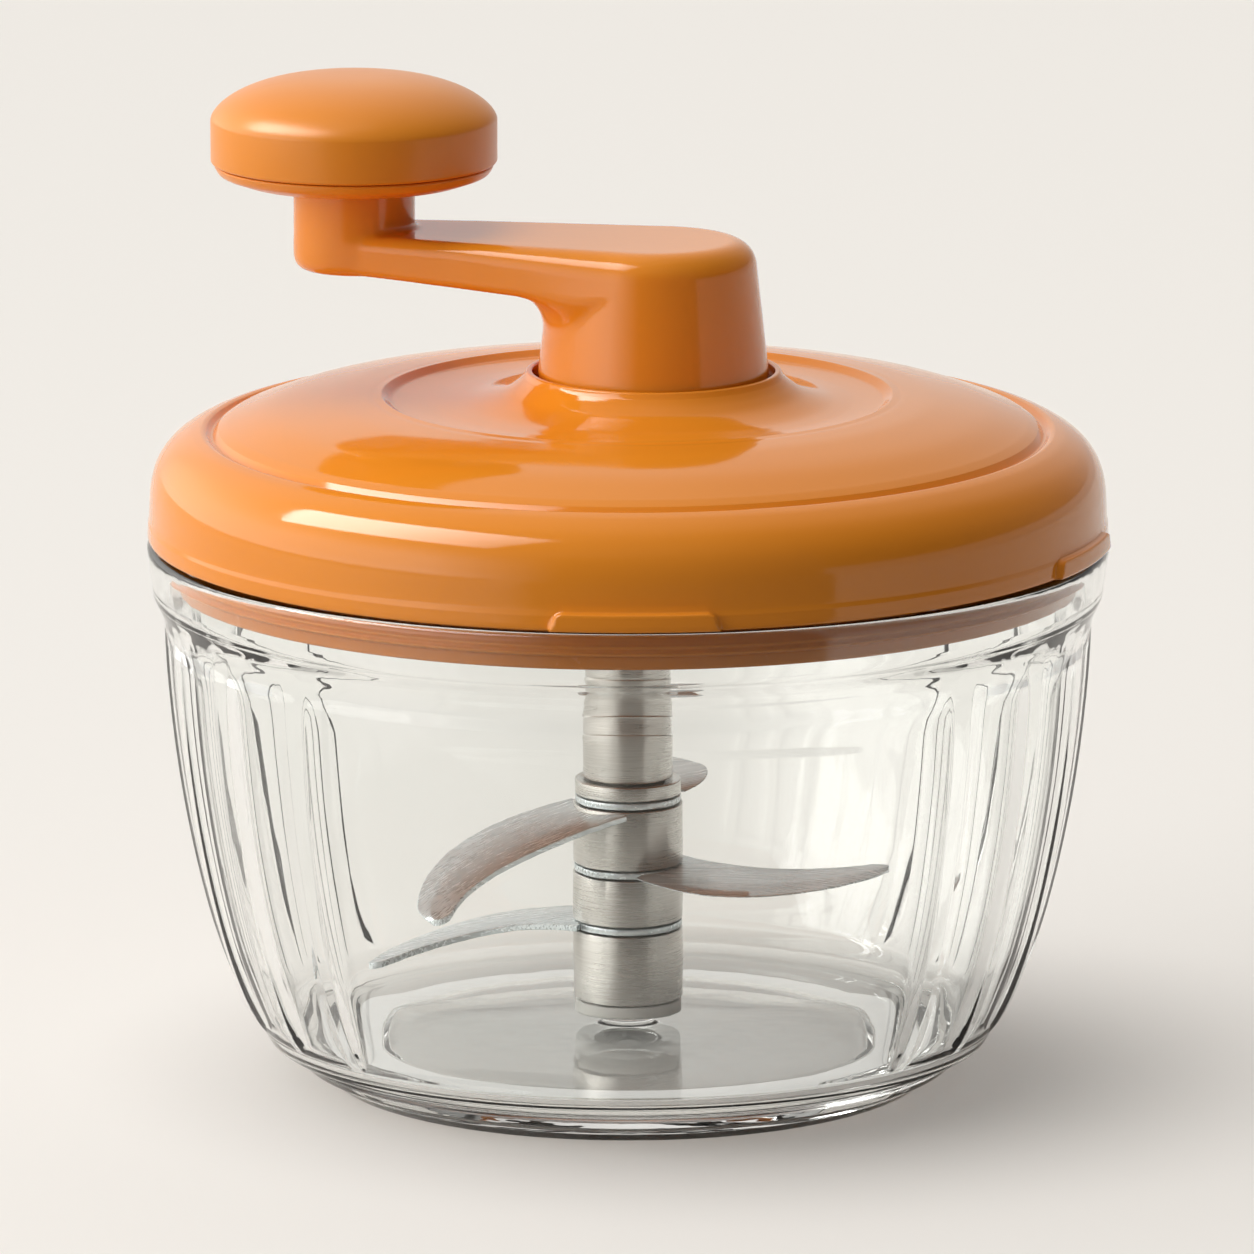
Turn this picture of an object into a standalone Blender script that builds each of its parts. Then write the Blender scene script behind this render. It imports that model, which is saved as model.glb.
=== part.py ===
"""Hand-cranked food chopper: glass bowl, lift-off lid with a planetary gear train, crank and rotor.

Metres, +Z up. The origin is the centre of the bowl's underside, on the table. The camera side of
the product is -Y, and the crank arm points to -X. The crank and its ring gear turn on an axis that
stands HUB_OFFSET to the +X side of the bowl's axis; two idlers carry the drive to the sun pinion on
the bowl's axis, which turns the blades through a hexagonal peg.
"""

import math

import bmesh
import bpy
from mathutils import Matrix, Vector

for old in list(bpy.data.objects):
    bpy.data.objects.remove(old, do_unlink=True)

# Clearances
SEAT_GAP = 0.0003  # between pieces that rest on, or are fixed to, each other
RUNNING_GAP = 0.0003  # radial play of everything that turns
BACKLASH = 0.00024  # play between meshing teeth, along the pitch circle

# Pressed glass bowl
BOWL_HEIGHT = 0.0855
RIM_RADIUS = 0.0752  # over the bead at the mouth
BEAD_HEIGHT = 0.0055
BEAD_PROUD = 0.0028  # the bead over the wall under it
MOUTH_WALL = 0.0034  # glass thickness at the bead
GLASS_WALL = 0.0032
FLOOR_THICKNESS = 0.0065
LEDGE_RADIUS = 0.0580  # the thick disc that the ribs run down to
LEDGE_HEIGHT = 0.0090
FOOT_RADIUS = 0.0475
FOOT_RECESS = 0.0008
PANEL_DEPTH = 0.0009  # how far the panels lie back from the ribs
PANEL_CORNER = 0.0036
PANEL_DROP = 0.0042  # tops of the panels under the bead
RIB_PITCH_DEG = 15.0
RIB_DEG = 3.6  # width of a rib
WINDOW_DEG = 90.0  # the plain window in front, and its twin at the back
PIVOT_RADIUS = 0.0040
PIVOT_RISE = 0.0132  # moulded pivot, over the floor

# Lid shell
LID_SET_IN = 0.0002  # the lid's edge lies this far inside the bowl's bead
LID_WALL = 0.0024
SHOULDER_HEIGHT = 0.0176  # rim edge to the crest outside the groove
GROOVE_INSET = 0.0101  # lid's edge to the groove
GROOVE_DEPTH = 0.0009
DISH_RADIUS = 0.0395
DISH_DEPTH = 0.0011
COLLAR_RISE = 0.0049
LIP_WIDTH = 0.0005
COLLAR_GAP = 0.00185  # open ring round the crank's hub
BEARING_DROP = 0.0030  # the hub's bearing under the collar's lip
TAB_ANGLES_DEG = (0.0, 71.0, 180.0, 251.0)  # from the front, towards +X
TAB_HALF_DEG = 10.5
TAB_HEIGHT = 0.0034
TAB_PROUD = 0.0008
BOSS_RADIUS = 0.0036
BOSS_CIRCLE = 0.0450
BOSS_COUNT = 3

# Gear plate under the lid, with the plug that centres it in the bowl
PLATE_THICKNESS = 0.0026
PLATE_RAISE = 0.0006  # underside over the lid's edge
PLUG_DEPTH = 0.0064
PLUG_PLAY = 0.0018  # room for the seal between the plug and the mouth
PLUG_WALL = 0.0020
SEAL_HEIGHT = 0.0030
SEAL_DROP = 0.0012  # top of the seal under the lid's edge

# Gear train
MODULE = 0.0010
PRESSURE_DEG = 25.0
RING_TEETH = 44
IDLER_TEETH = 16
SUN_TEETH = RING_TEETH - 2 * IDLER_TEETH
HUB_OFFSET = 0.0040
FACE_WIDTH = 0.0085
RING_WALL = 0.0035
DISC_THICKNESS = 0.0029
GEAR_TOP_ROOM = 0.0012
DISC_CLEARANCE = 0.0018
IDLER_PIN_RADIUS = 0.0020
FLANGE_THICKNESS = 0.0007
BUSH_WALL = 0.0016

# Screws
SCREW_RADIUS = 0.0012
SCREW_HEAD_RADIUS = 0.0026
SCREW_HEAD_HEIGHT = 0.0015
SCREW_LENGTH = 0.0080
DRIVE_SCREW_CIRCLE = 0.0095

# Crank
HUB_RADIUS = 0.0179
HUB_TOP_RADIUS = 0.0156
HUB_EDGE = 0.0040  # rounding of the hub's top edge
CRANK_RISE = 0.0205  # crank's top over the collar's lip
CRANK_THROW = 0.0482
ARM_TURN_DEG = 14.0  # swung away from the camera
ARM_EDGE = 0.0030
ARM_THICKNESS = 0.0062
ARM_FILLET = 0.0060
STEM_RADIUS = 0.0095
STEM_RISE = 0.0071  # stem's top over the crank's top

# Knob
KNOB_RADIUS = 0.0224
KNOB_HEIGHT = 0.0166
KNOB_BASE_HEIGHT = 0.0026
KNOB_WALL = 0.0022
KNOB_EDGE = 0.0070
AXLE_RADIUS = 0.0030
AXLE_HEAD_RADIUS = 0.0052
AXLE_HEAD_HEIGHT = 0.0022
AXLE_GRIP = 0.0040  # height of the knob's sleeve over its base
AXLE_DEPTH = 0.0100  # into the stem

# Rotor
TUBE_RADIUS = 0.00695
TUBE_WALL = 0.0010
TUBE_NECK = 0.0002  # the tube's crimped upper part is this much slimmer
TUBE_NECK_HEIGHT = 0.0624
ROTOR_RADIUS = 0.0086
COLLAR_RADIUS = 0.00835
COLLAR_HEIGHT = 0.0022
BLADE_THICKNESS = 0.0010
BLADE_EDGE = 0.0002
ROTOR_FOOT_GAP = 0.0025  # rotor's foot over the bowl's floor
FOOT_FLANGE = 0.0030
LONG_REACH = 0.0438  # rotor's axis to a wing's tip
REAR_REACH = 0.0381
SIDE_REACH = 0.0411
LONG_DROP = 0.0126  # how far a wing's tip hangs below its root
LOWER_DROP = 0.0060
LONG_TWIST = 0.0016  # how far a wing's edge is lifted over its middle
REAR_TWIST = 0.0010
SIDE_TWIST = 0.0012
LOWER_BLADE_HEIGHT = 0.0236
MIDDLE_BLADE_HEIGHT = 0.0326
UPPER_BLADE_HEIGHT = 0.0436
HEX_FLAT = 0.0031  # axis to flat of the drive peg
HEX_LENGTH = 0.0140

# Heights that follow from the sizes above
SEAT_Z = BOWL_HEIGHT + SEAT_GAP
PLATE_Z = SEAT_Z + PLATE_RAISE
PLATE_TOP_Z = PLATE_Z + PLATE_THICKNESS
GEAR_Z = PLATE_TOP_Z + SEAT_GAP + FLANGE_THICKNESS + SEAT_GAP
GEAR_TOP_Z = GEAR_Z + FACE_WIDTH
DISC_Z = GEAR_TOP_Z + GEAR_TOP_ROOM
DISC_TOP_Z = DISC_Z + DISC_THICKNESS
HUB_Z = DISC_TOP_Z + SEAT_GAP
DISH_Z = DISC_TOP_Z + DISC_CLEARANCE + LID_WALL
LIP_Z = DISH_Z + COLLAR_RISE
CRANK_TOP_Z = LIP_Z + CRANK_RISE
STEM_TOP_Z = CRANK_TOP_Z + STEM_RISE
KNOB_Z = STEM_TOP_Z + SEAT_GAP
PLUG_Z = SEAT_Z - PLUG_DEPTH
PIVOT_TOP_Z = FLOOR_THICKNESS + PIVOT_RISE
ROTOR_Z = FLOOR_THICKNESS + ROTOR_FOOT_GAP
TUBE_TOP_Z = PLUG_Z - SEAT_GAP / 2

# Radii that follow
WALL_TOP_RADIUS = RIM_RADIUS - BEAD_PROUD
MOUTH_RADIUS = RIM_RADIUS - MOUTH_WALL
LID_RADIUS = RIM_RADIUS - LID_SET_IN
GROOVE_RADIUS = LID_RADIUS - GROOVE_INSET
PLUG_RADIUS = MOUTH_RADIUS - PLUG_PLAY
COLLAR_BORE = HUB_RADIUS + COLLAR_GAP
RING_PITCH = RING_TEETH * MODULE / 2
IDLER_PITCH = IDLER_TEETH * MODULE / 2
SUN_PITCH = SUN_TEETH * MODULE / 2
RING_OUTER = RING_PITCH + MODULE + RING_WALL
CENTRES = SUN_PITCH + IDLER_PITCH
IDLER_X = HUB_OFFSET / 2
IDLER_Y = math.sqrt(CENTRES**2 - IDLER_X**2)
CORE_RADIUS = TUBE_RADIUS - TUBE_WALL - SEAT_GAP
STACK_BORE = TUBE_RADIUS - TUBE_WALL
JOURNAL_RADIUS = SUN_PITCH + RUNNING_GAP / 3
BUSH_BORE = JOURNAL_RADIUS + RUNNING_GAP
BUSH_OUTER = BUSH_BORE + BUSH_WALL
PLATE_BORE = BUSH_OUTER + SEAT_GAP
ARM_AIM = math.pi - math.radians(ARM_TURN_DEG)

# Facets round a full turn
BOWL_STEPS = 40
LID_STEPS = 40
PLATE_STEPS = 40
HUB_STEPS = 32
FINE_STEPS = 24
SMALL_STEPS = 12

scene = bpy.context.scene
parts = bpy.data.collections.new("food_chopper")
cutters = bpy.data.collections.new("cutters")
scene.collection.children.link(parts)
scene.collection.children.link(cutters)


def material(name, color, roughness, metallic=0.0, transmission=0.0):
    made = bpy.data.materials.new(name)
    made.use_nodes = True
    shader = made.node_tree.nodes["Principled BSDF"]
    shader.inputs["Base Color"].default_value = (*color, 1.0)
    shader.inputs["Roughness"].default_value = roughness
    shader.inputs["Metallic"].default_value = metallic
    shader.inputs["Transmission Weight"].default_value = transmission
    made.diffuse_color = (*color, 1.0)
    return made


def orange(name, roughness=0.22):
    return material(name, (0.76, 0.235, 0.036), roughness)


def acetal(name):
    return material(name, (0.80, 0.79, 0.75), 0.45)


def steel(name, roughness=0.30):
    return material(name, (0.58, 0.57, 0.55), roughness, 1.0)


def place(name, mesh, mat, parent=None, at=(0.0, 0.0, 0.0), turn=0.0):
    """A part of the object, with its own material, at a world place or under its pivot."""
    made = bpy.data.objects.new(name, mesh)
    parts.objects.link(made)
    mesh.materials.append(mat)
    made.parent = parent
    made.location = at
    made.rotation_euler = (0.0, 0.0, turn)
    return made


def tool(name, mesh, at=(0.0, 0.0, 0.0), turn=0.0):
    """A shape that is only cut from, or joined to, a part."""
    made = bpy.data.objects.new(name, mesh)
    cutters.objects.link(made)
    made.location = at
    made.rotation_euler = (0.0, 0.0, turn)
    made.hide_render = True
    made.display_type = "WIRE"
    return made


def pivot(name, at, parent=None):
    """An empty on a joint's axis."""
    made = bpy.data.objects.new(name, None)
    parts.objects.link(made)
    made.parent = parent
    made.location = at
    made.empty_display_size = 0.01
    return made


def profile_mesh(name, points, closed):
    """The outline of a turned piece, as (radius, height) points in the XZ plane."""
    mesh = bpy.data.meshes.new(name)
    edges = [(i, i + 1) for i in range(len(points) - 1)]
    if closed:
        edges.append((len(points) - 1, 0))
    mesh.from_pydata([(r, 0.0, z) for r, z in points], edges, [])
    return mesh


def spin(obj, steps):
    screw = obj.modifiers.new("Turn", "SCREW")
    screw.axis = "Z"
    screw.angle = 2 * math.pi
    screw.steps = steps
    screw.render_steps = steps
    screw.use_merge_vertices = True
    screw.merge_threshold = 0.000001
    screw.use_smooth_shade = True
    return obj


def turned(name, points, mat, steps, closed=False, **where):
    return spin(place(name, profile_mesh(name, points, closed), mat, **where), steps)


def turned_tool(name, points, steps, closed=False, **where):
    return spin(tool(name, profile_mesh(name, points, closed), **where), steps)


def tube_points(inner, outer, low, high):
    """A plain ring's section, down the outer side and up the bore."""
    return [(outer, high), (outer, low), (inner, low), (inner, high)]


def post_mesh(name, radius, low, high, steps):
    """A plain round post, or a hole's cutter."""
    bm = bmesh.new()
    bmesh.ops.create_cone(
        bm,
        cap_ends=True,
        segments=steps,
        radius1=radius,
        radius2=radius,
        depth=high - low,
        matrix=Matrix.Translation((0.0, 0.0, (low + high) / 2)),
    )
    mesh = bpy.data.meshes.new(name)
    bm.to_mesh(mesh)
    bm.free()
    return mesh


def prism_mesh(name, outline, low, high):
    """A flat outline of (x, y) points, run counterclockwise, raised from low to high."""
    bm = bmesh.new()
    face = bm.faces.new([bm.verts.new((x, y, low)) for x, y in outline])
    face.normal_flip()
    raised = bmesh.ops.extrude_face_region(bm, geom=[face])["geom"]
    top = [v for v in raised if isinstance(v, bmesh.types.BMVert)]
    bmesh.ops.translate(bm, verts=top, vec=(0.0, 0.0, high - low))
    bmesh.ops.recalc_face_normals(bm, faces=bm.faces)
    mesh = bpy.data.meshes.new(name)
    bm.to_mesh(mesh)
    bm.free()
    return mesh


def boolean(obj, other, operation="DIFFERENCE"):
    cut = obj.modifiers.new(other.name, "BOOLEAN")
    cut.operation = operation
    cut.object = other
    cut.solver = "EXACT"
    return obj


def sector_mesh(name, sectors, points, corner=0.0, corner_steps=3):
    """Closed slabs swept round the axis, one for each (start, end, steps) in degrees.

    The section's first and last points are its top edge, whose ends are rounded by corner.
    """
    bm = bmesh.new()
    top_z = points[0][1]
    for start, end, steps in sectors:
        turn = Matrix.Rotation(math.radians(start), 3, "Z")
        ring = [bm.verts.new(turn @ Vector((r, 0.0, z))) for r, z in points]
        loop = [bm.edges.new((ring[i - 1], ring[i])) for i in range(len(ring))]
        swept = bmesh.ops.spin(
            bm,
            geom=ring + loop,
            axis=(0.0, 0.0, 1.0),
            cent=(0.0, 0.0, 0.0),
            angle=math.radians(end - start),
            steps=steps,
        )["geom_last"]
        far = [e for e in swept if isinstance(e, bmesh.types.BMEdge)]
        bmesh.ops.contextual_create(bm, geom=loop)
        bmesh.ops.contextual_create(bm, geom=far)
    bmesh.ops.recalc_face_normals(bm, faces=bm.faces)
    if corner:
        limits = [a for start, end, _ in sectors for a in (start, end)]
        ends = []
        for edge in bm.edges:
            a, b = (v.co for v in edge.verts)
            flat = abs(a.z - top_z) < 1e-6 and abs(b.z - top_z) < 1e-6
            radial = abs(math.atan2(a.x * b.y - a.y * b.x, a.x * b.x + a.y * b.y)) < 1e-4
            here = math.degrees(math.atan2(a.y, a.x))
            at_end = any(abs((here - limit + 180) % 360 - 180) < 0.01 for limit in limits)
            if flat and radial and at_end:
                ends.append(edge)
        bmesh.ops.bevel(
            bm, geom=ends, offset=corner, segments=corner_steps, profile=0.5, affect="EDGES"
        )
    mesh = bpy.data.meshes.new(name)
    bm.to_mesh(mesh)
    bm.free()
    return mesh


def arc(centre, radius, start_deg, end_deg, steps):
    """Points on a circular arc in the (radius, height) plane."""
    out = []
    for i in range(steps + 1):
        a = math.radians(start_deg + (end_deg - start_deg) * i / steps)
        out.append((centre[0] + radius * math.cos(a), centre[1] + radius * math.sin(a)))
    return out


# Glass bowl: pressed in one piece with its pivot, its bead and its ribs.
def wall_radius(z):
    """Outer radius over the ribs, from the ledge up to the foot of the cove under the bead."""
    top = BOWL_HEIGHT - BEAD_HEIGHT - 0.008
    u = min(1.0, max(0.0, (z - LEDGE_HEIGHT) / (top - LEDGE_HEIGHT)))
    low = LEDGE_RADIUS - 0.0004
    return low + (WALL_TOP_RADIUS - low) * (1 - (1 - u) ** 1.6) ** 0.65


WALL_TOP_Z = BOWL_HEIGHT - BEAD_HEIGHT - 0.008
STEP_Z = PLUG_Z - SEAT_GAP
outer_heights = [
    LEDGE_HEIGHT + (WALL_TOP_Z - LEDGE_HEIGHT) * share
    for share in (1.0, 0.66, 0.36, 0.16, 0.03)
]
inner_heights = [
    FLOOR_THICKNESS + (WALL_TOP_Z - FLOOR_THICKNESS) * share for share in (0.18, 0.38, 0.68)
]
bowl_points = [
    (0.0, FLOOR_THICKNESS),
    (FOOT_RADIUS - 0.0030, FLOOR_THICKNESS),
    (FOOT_RADIUS + 0.0060, FLOOR_THICKNESS + 0.0034),
]
bowl_points += [(wall_radius(z) - GLASS_WALL, z) for z in inner_heights]
bowl_points += [
    (WALL_TOP_RADIUS - GLASS_WALL, STEP_Z - 0.0036),
    (MOUTH_RADIUS, STEP_Z),
    (MOUTH_RADIUS, BOWL_HEIGHT - 0.0006),
    (MOUTH_RADIUS + 0.0006, BOWL_HEIGHT),
    (RIM_RADIUS - 0.0010, BOWL_HEIGHT),
    (RIM_RADIUS, BOWL_HEIGHT - 0.0012),
    (RIM_RADIUS - 0.0004, BOWL_HEIGHT - BEAD_HEIGHT),
    (RIM_RADIUS - 0.0015, BOWL_HEIGHT - BEAD_HEIGHT - 0.0038),
]
bowl_points += [(wall_radius(z), z) for z in outer_heights]
bowl_points += [
    (LEDGE_RADIUS, LEDGE_HEIGHT - 0.0006),
    (LEDGE_RADIUS - 0.0044, LEDGE_HEIGHT - 0.0052),
    (FOOT_RADIUS, 0.0),
    (FOOT_RADIUS - 0.0085, 0.0),
    (FOOT_RADIUS - 0.0095, FOOT_RECESS),
    (0.0, FOOT_RECESS),
]
pivot_points = [
    (0.0, PIVOT_TOP_Z),
    (PIVOT_RADIUS * 0.6, PIVOT_TOP_Z - 0.0002),
    (PIVOT_RADIUS, PIVOT_TOP_Z - 0.0014),
    (PIVOT_RADIUS, FLOOR_THICKNESS + 0.0014),
    (PIVOT_RADIUS + 0.0014, FLOOR_THICKNESS - 0.0010),
    (0.0, FLOOR_THICKNESS - 0.0010),
]
FACET_DEG = 360.0 / BOWL_STEPS
glass_bowl = turned(
    "glass_bowl",
    bowl_points,
    material("clear_glass", (0.93, 0.97, 0.94), 0.02, transmission=1.0),
    BOWL_STEPS,
)
boolean(glass_bowl, turned_tool("pivot_boss", pivot_points, FINE_STEPS), "UNION")
side_ribs = int(round((180.0 - WINDOW_DEG) / RIB_PITCH_DEG)) + 1
rib_angles = []
for middle in (0.0, 180.0):
    first = middle - RIB_PITCH_DEG * (side_ribs - 1) / 2
    rib_angles += [first + RIB_PITCH_DEG * i for i in range(side_ribs)]
sectors = []
for this, following in zip(rib_angles, rib_angles[1:] + [rib_angles[0] + 360.0]):
    start = this + RIB_DEG / 2
    end = following - RIB_DEG / 2
    sectors.append((start, end, max(1, int(round((end - start) / FACET_DEG)))))
PANEL_TOP_Z = BOWL_HEIGHT - BEAD_HEIGHT - PANEL_DROP
PANEL_Z = LEDGE_HEIGHT + 0.0004
panel_heights = [PANEL_TOP_Z] + outer_heights[:-1] + [PANEL_Z]
panel_points = [(wall_radius(z) - PANEL_DEPTH, z) for z in panel_heights]
panel_points += [
    (LEDGE_RADIUS + PANEL_CORNER, PANEL_Z),
    (RIM_RADIUS + PANEL_CORNER, outer_heights[2]),
    (RIM_RADIUS + PANEL_CORNER, PANEL_TOP_Z),
]
boolean(glass_bowl, tool("panels", sector_mesh("panels", sectors, panel_points, PANEL_CORNER, 2)))

# Lid shell: one glossy moulding, with its collar round the crank's hub, tabs and screw bosses.
lid_lift = pivot("lid_lift", (0.0, 0.0, 0.0))
CREST_Z = SEAT_Z + SHOULDER_HEIGHT
DISH_CREST_Z = DISH_Z + DISH_DEPTH
dome = []
for i in range(4):
    share = i / 3
    radius = GROOVE_RADIUS - 0.0010 - (GROOVE_RADIUS - 0.0010 - DISH_RADIUS) * share
    low = CREST_Z - 0.0004
    dome.append((radius, low + (DISH_CREST_Z - low) * math.sin(share * math.pi / 2) ** 0.85))
shoulder = [
    (LID_RADIUS - 0.0076, CREST_Z),
    (LID_RADIUS - 0.0046, CREST_Z - 0.0015),
    (LID_RADIUS - 0.0023, CREST_Z - 0.0044),
    (LID_RADIUS - 0.0007, CREST_Z - 0.0092),
    (LID_RADIUS, SEAT_Z),
]
lid_points = [(0.0, DISH_Z), (DISH_RADIUS * 0.62, DISH_Z), (DISH_RADIUS - 0.0045, DISH_Z + 0.0006)]
lid_points += list(reversed(dome))
lid_points += [
    (GROOVE_RADIUS, CREST_Z - GROOVE_DEPTH),
    (GROOVE_RADIUS + 0.0010, CREST_Z - 0.0002),
]
lid_points += shoulder
lid_points += [
    (LID_RADIUS - LID_WALL, SEAT_Z),
    (LID_RADIUS - LID_WALL - 0.0005, CREST_Z - 0.0080),
    (LID_RADIUS - 0.0080, CREST_Z - LID_WALL),
    (DISH_RADIUS, DISH_CREST_Z - LID_WALL),
    (0.0, DISH_Z - LID_WALL),
]
lid_shell = turned("lid_shell", lid_points, orange("lid_orange"), LID_STEPS, parent=lid_lift)
hub_at = (HUB_OFFSET, 0.0, 0.0)
boolean(
    lid_shell,
    tool(
        "collar_hole",
        post_mesh("collar_hole", COLLAR_BORE + 0.0015, HUB_Z - 0.002, LIP_Z + 0.01, HUB_STEPS),
        at=hub_at,
    ),
)
COLLAR_OUTER = COLLAR_BORE + LIP_WIDTH
collar_points = [
    (COLLAR_OUTER, LIP_Z),
    (COLLAR_OUTER + 0.0008, LIP_Z - 0.0007),
    (COLLAR_OUTER + 0.0026, LIP_Z - 0.0026),
    (COLLAR_OUTER + 0.0052, DISH_Z + 0.0007),
    (COLLAR_OUTER + 0.0080, DISH_Z - LID_WALL * 0.3),
    (COLLAR_OUTER + 0.0080, DISH_Z - LID_WALL * 0.7),
    (COLLAR_OUTER + 0.0040, HUB_Z),
    (COLLAR_BORE, HUB_Z),
    (COLLAR_BORE, LIP_Z - 0.0004),
]
boolean(
    lid_shell,
    turned_tool("collar", collar_points, HUB_STEPS, closed=True, at=hub_at),
    "UNION",
)
tab_points = [
    (LID_RADIUS - LID_WALL + 0.0006, SEAT_Z + TAB_HEIGHT),
    (LID_RADIUS - LID_WALL + 0.0006, SEAT_Z - SEAT_GAP * 0.5),
    (LID_RADIUS + TAB_PROUD, SEAT_Z - SEAT_GAP * 0.5),
    (LID_RADIUS + TAB_PROUD, SEAT_Z + TAB_HEIGHT),
]
tab_sectors = [
    (angle - 90.0 - TAB_HALF_DEG, angle - 90.0 + TAB_HALF_DEG, 4) for angle in TAB_ANGLES_DEG
]
boolean(
    lid_shell,
    tool("tabs", sector_mesh("tabs", tab_sectors, tab_points, TAB_HEIGHT * 0.5, 2)),
    "UNION",
)
boss_angles = [90.0 + 360.0 * i / BOSS_COUNT for i in range(BOSS_COUNT)]
boss_places = [
    (BOSS_CIRCLE * math.cos(math.radians(a)), BOSS_CIRCLE * math.sin(math.radians(a)), 0.0)
    for a in boss_angles
]
BOSS_Z = PLATE_TOP_Z + SEAT_GAP
for number, spot in enumerate(boss_places, 1):
    boss = post_mesh(f"boss_{number}", BOSS_RADIUS, BOSS_Z, DISH_Z - LID_WALL * 0.5, SMALL_STEPS)
    boolean(lid_shell, tool(f"boss_{number}", boss, at=spot), "UNION")
    hole = post_mesh(
        f"boss_hole_{number}",
        SCREW_RADIUS + SEAT_GAP,
        BOSS_Z - 0.001,
        PLATE_Z + SCREW_LENGTH + 2 * SEAT_GAP,
        SMALL_STEPS,
    )
    boolean(lid_shell, tool(f"boss_hole_{number}", hole, at=spot))

# Gear plate: closes the lid from below, centres it in the mouth and carries the gear train.
BUSH_BOSS = PLATE_BORE + 0.0020
plate_points = [
    (PLATE_BORE, PLATE_TOP_Z),
    (LID_RADIUS - LID_WALL - 2 * SEAT_GAP, PLATE_TOP_Z),
    (LID_RADIUS - LID_WALL - 2 * SEAT_GAP, PLATE_Z),
    (PLUG_RADIUS, PLATE_Z),
    (PLUG_RADIUS, PLUG_Z + 0.0005),
    (PLUG_RADIUS - 0.0005, PLUG_Z),
    (PLUG_RADIUS - PLUG_WALL, PLUG_Z),
    (PLUG_RADIUS - PLUG_WALL, PLATE_Z),
    (BUSH_BOSS, PLATE_Z),
    (BUSH_BOSS, PLUG_Z + 0.0010),
    (PLATE_BORE, PLUG_Z + 0.0010),
]
gear_plate = turned(
    "gear_plate", plate_points, orange("plate_orange", 0.30), PLATE_STEPS, closed=True, parent=lid_lift
)
IDLER_PLACES = {"front": (IDLER_X, -IDLER_Y, 0.0), "back": (IDLER_X, IDLER_Y, 0.0)}
PIN_FOOT_Z = PLATE_Z - 0.0020
for side, spot in IDLER_PLACES.items():
    boss = post_mesh(
        f"pin_boss_{side}", IDLER_PIN_RADIUS + 0.0022, PIN_FOOT_Z - 0.0012, PLATE_Z + 0.001, SMALL_STEPS
    )
    boolean(gear_plate, tool(f"pin_boss_{side}", boss, at=spot), "UNION")
    hole = post_mesh(
        f"pin_hole_{side}",
        IDLER_PIN_RADIUS + SEAT_GAP,
        PIN_FOOT_Z - SEAT_GAP,
        PLATE_TOP_Z + 0.001,
        SMALL_STEPS,
    )
    boolean(gear_plate, tool(f"pin_hole_{side}", hole, at=spot))
for number, spot in enumerate(boss_places, 1):
    hole = post_mesh(
        f"plate_hole_{number}", SCREW_RADIUS + SEAT_GAP, PLATE_Z - 0.001, PLATE_TOP_Z + 0.001, SMALL_STEPS
    )
    boolean(gear_plate, tool(f"plate_hole_{number}", hole, at=spot))


def screw_points(head_low, tip):
    """A pan-head screw, head down, from head_low up to its tip."""
    head = head_low + SCREW_HEAD_HEIGHT
    return [
        (0.0, tip),
        (SCREW_RADIUS * 0.5, tip - 0.0002),
        (SCREW_RADIUS, tip - 0.0014),
        (SCREW_RADIUS, head),
        (SCREW_HEAD_RADIUS, head),
        (SCREW_HEAD_RADIUS, head_low + 0.0005),
        (SCREW_HEAD_RADIUS * 0.7, head_low),
        (0.0, head_low),
    ]


HEAD_Z = PLATE_Z - SEAT_GAP - SCREW_HEAD_HEIGHT
for number, spot in enumerate(boss_places, 1):
    turned(
        f"cover_screw_{number}",
        screw_points(HEAD_Z, PLATE_Z + SCREW_LENGTH),
        steel(f"screw_steel_{number}"),
        SMALL_STEPS,
        parent=lid_lift,
        at=spot,
    )

seal_outer = MOUTH_RADIUS - SEAT_GAP
seal_inner = PLUG_RADIUS + SEAT_GAP
seal_top = SEAT_Z - SEAL_DROP
seal_points = [
    (seal_inner, seal_top),
    (seal_outer - 0.0004, seal_top),
    (seal_outer, seal_top - SEAL_HEIGHT / 2),
    (seal_outer - 0.0004, seal_top - SEAL_HEIGHT),
    (seal_inner, seal_top - SEAL_HEIGHT),
]
turned(
    "seal_ring",
    seal_points,
    material("seal_silicone", (0.72, 0.26, 0.06), 0.45),
    PLATE_STEPS,
    closed=True,
    parent=lid_lift,
)
for side, spot in IDLER_PLACES.items():
    pin = post_mesh(
        f"idler_pin_{side}", IDLER_PIN_RADIUS, PIN_FOOT_Z, DISC_Z - 2 * SEAT_GAP, SMALL_STEPS
    )
    place(f"idler_pin_{side}", pin, steel(f"pin_steel_{side}"), parent=lid_lift, at=spot)
bush_points = [
    (BUSH_BORE, PLATE_TOP_Z + SEAT_GAP + FLANGE_THICKNESS),
    (BUSH_OUTER + 0.0010, PLATE_TOP_Z + SEAT_GAP + FLANGE_THICKNESS),
    (BUSH_OUTER + 0.0010, PLATE_TOP_Z + SEAT_GAP),
    (BUSH_OUTER, PLATE_TOP_Z + SEAT_GAP),
    (BUSH_OUTER, PLUG_Z + 0.0010),
    (BUSH_BORE, PLUG_Z + 0.0010),
]
turned("spindle_bush", bush_points, acetal("bush_acetal"), FINE_STEPS, closed=True, parent=lid_lift)
turned(
    "hub_bearing",
    tube_points(
        HUB_RADIUS + RUNNING_GAP, COLLAR_BORE - SEAT_GAP, HUB_Z + SEAT_GAP, LIP_Z - BEARING_DROP
    ),
    acetal("bearing_acetal"),
    HUB_STEPS,
    closed=True,
    parent=lid_lift,
    at=hub_at,
)


# Gear train: involute teeth on short addenda, so that the 12-tooth sun isn't undercut.
def involute(angle):
    return math.tan(angle) - angle


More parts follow.
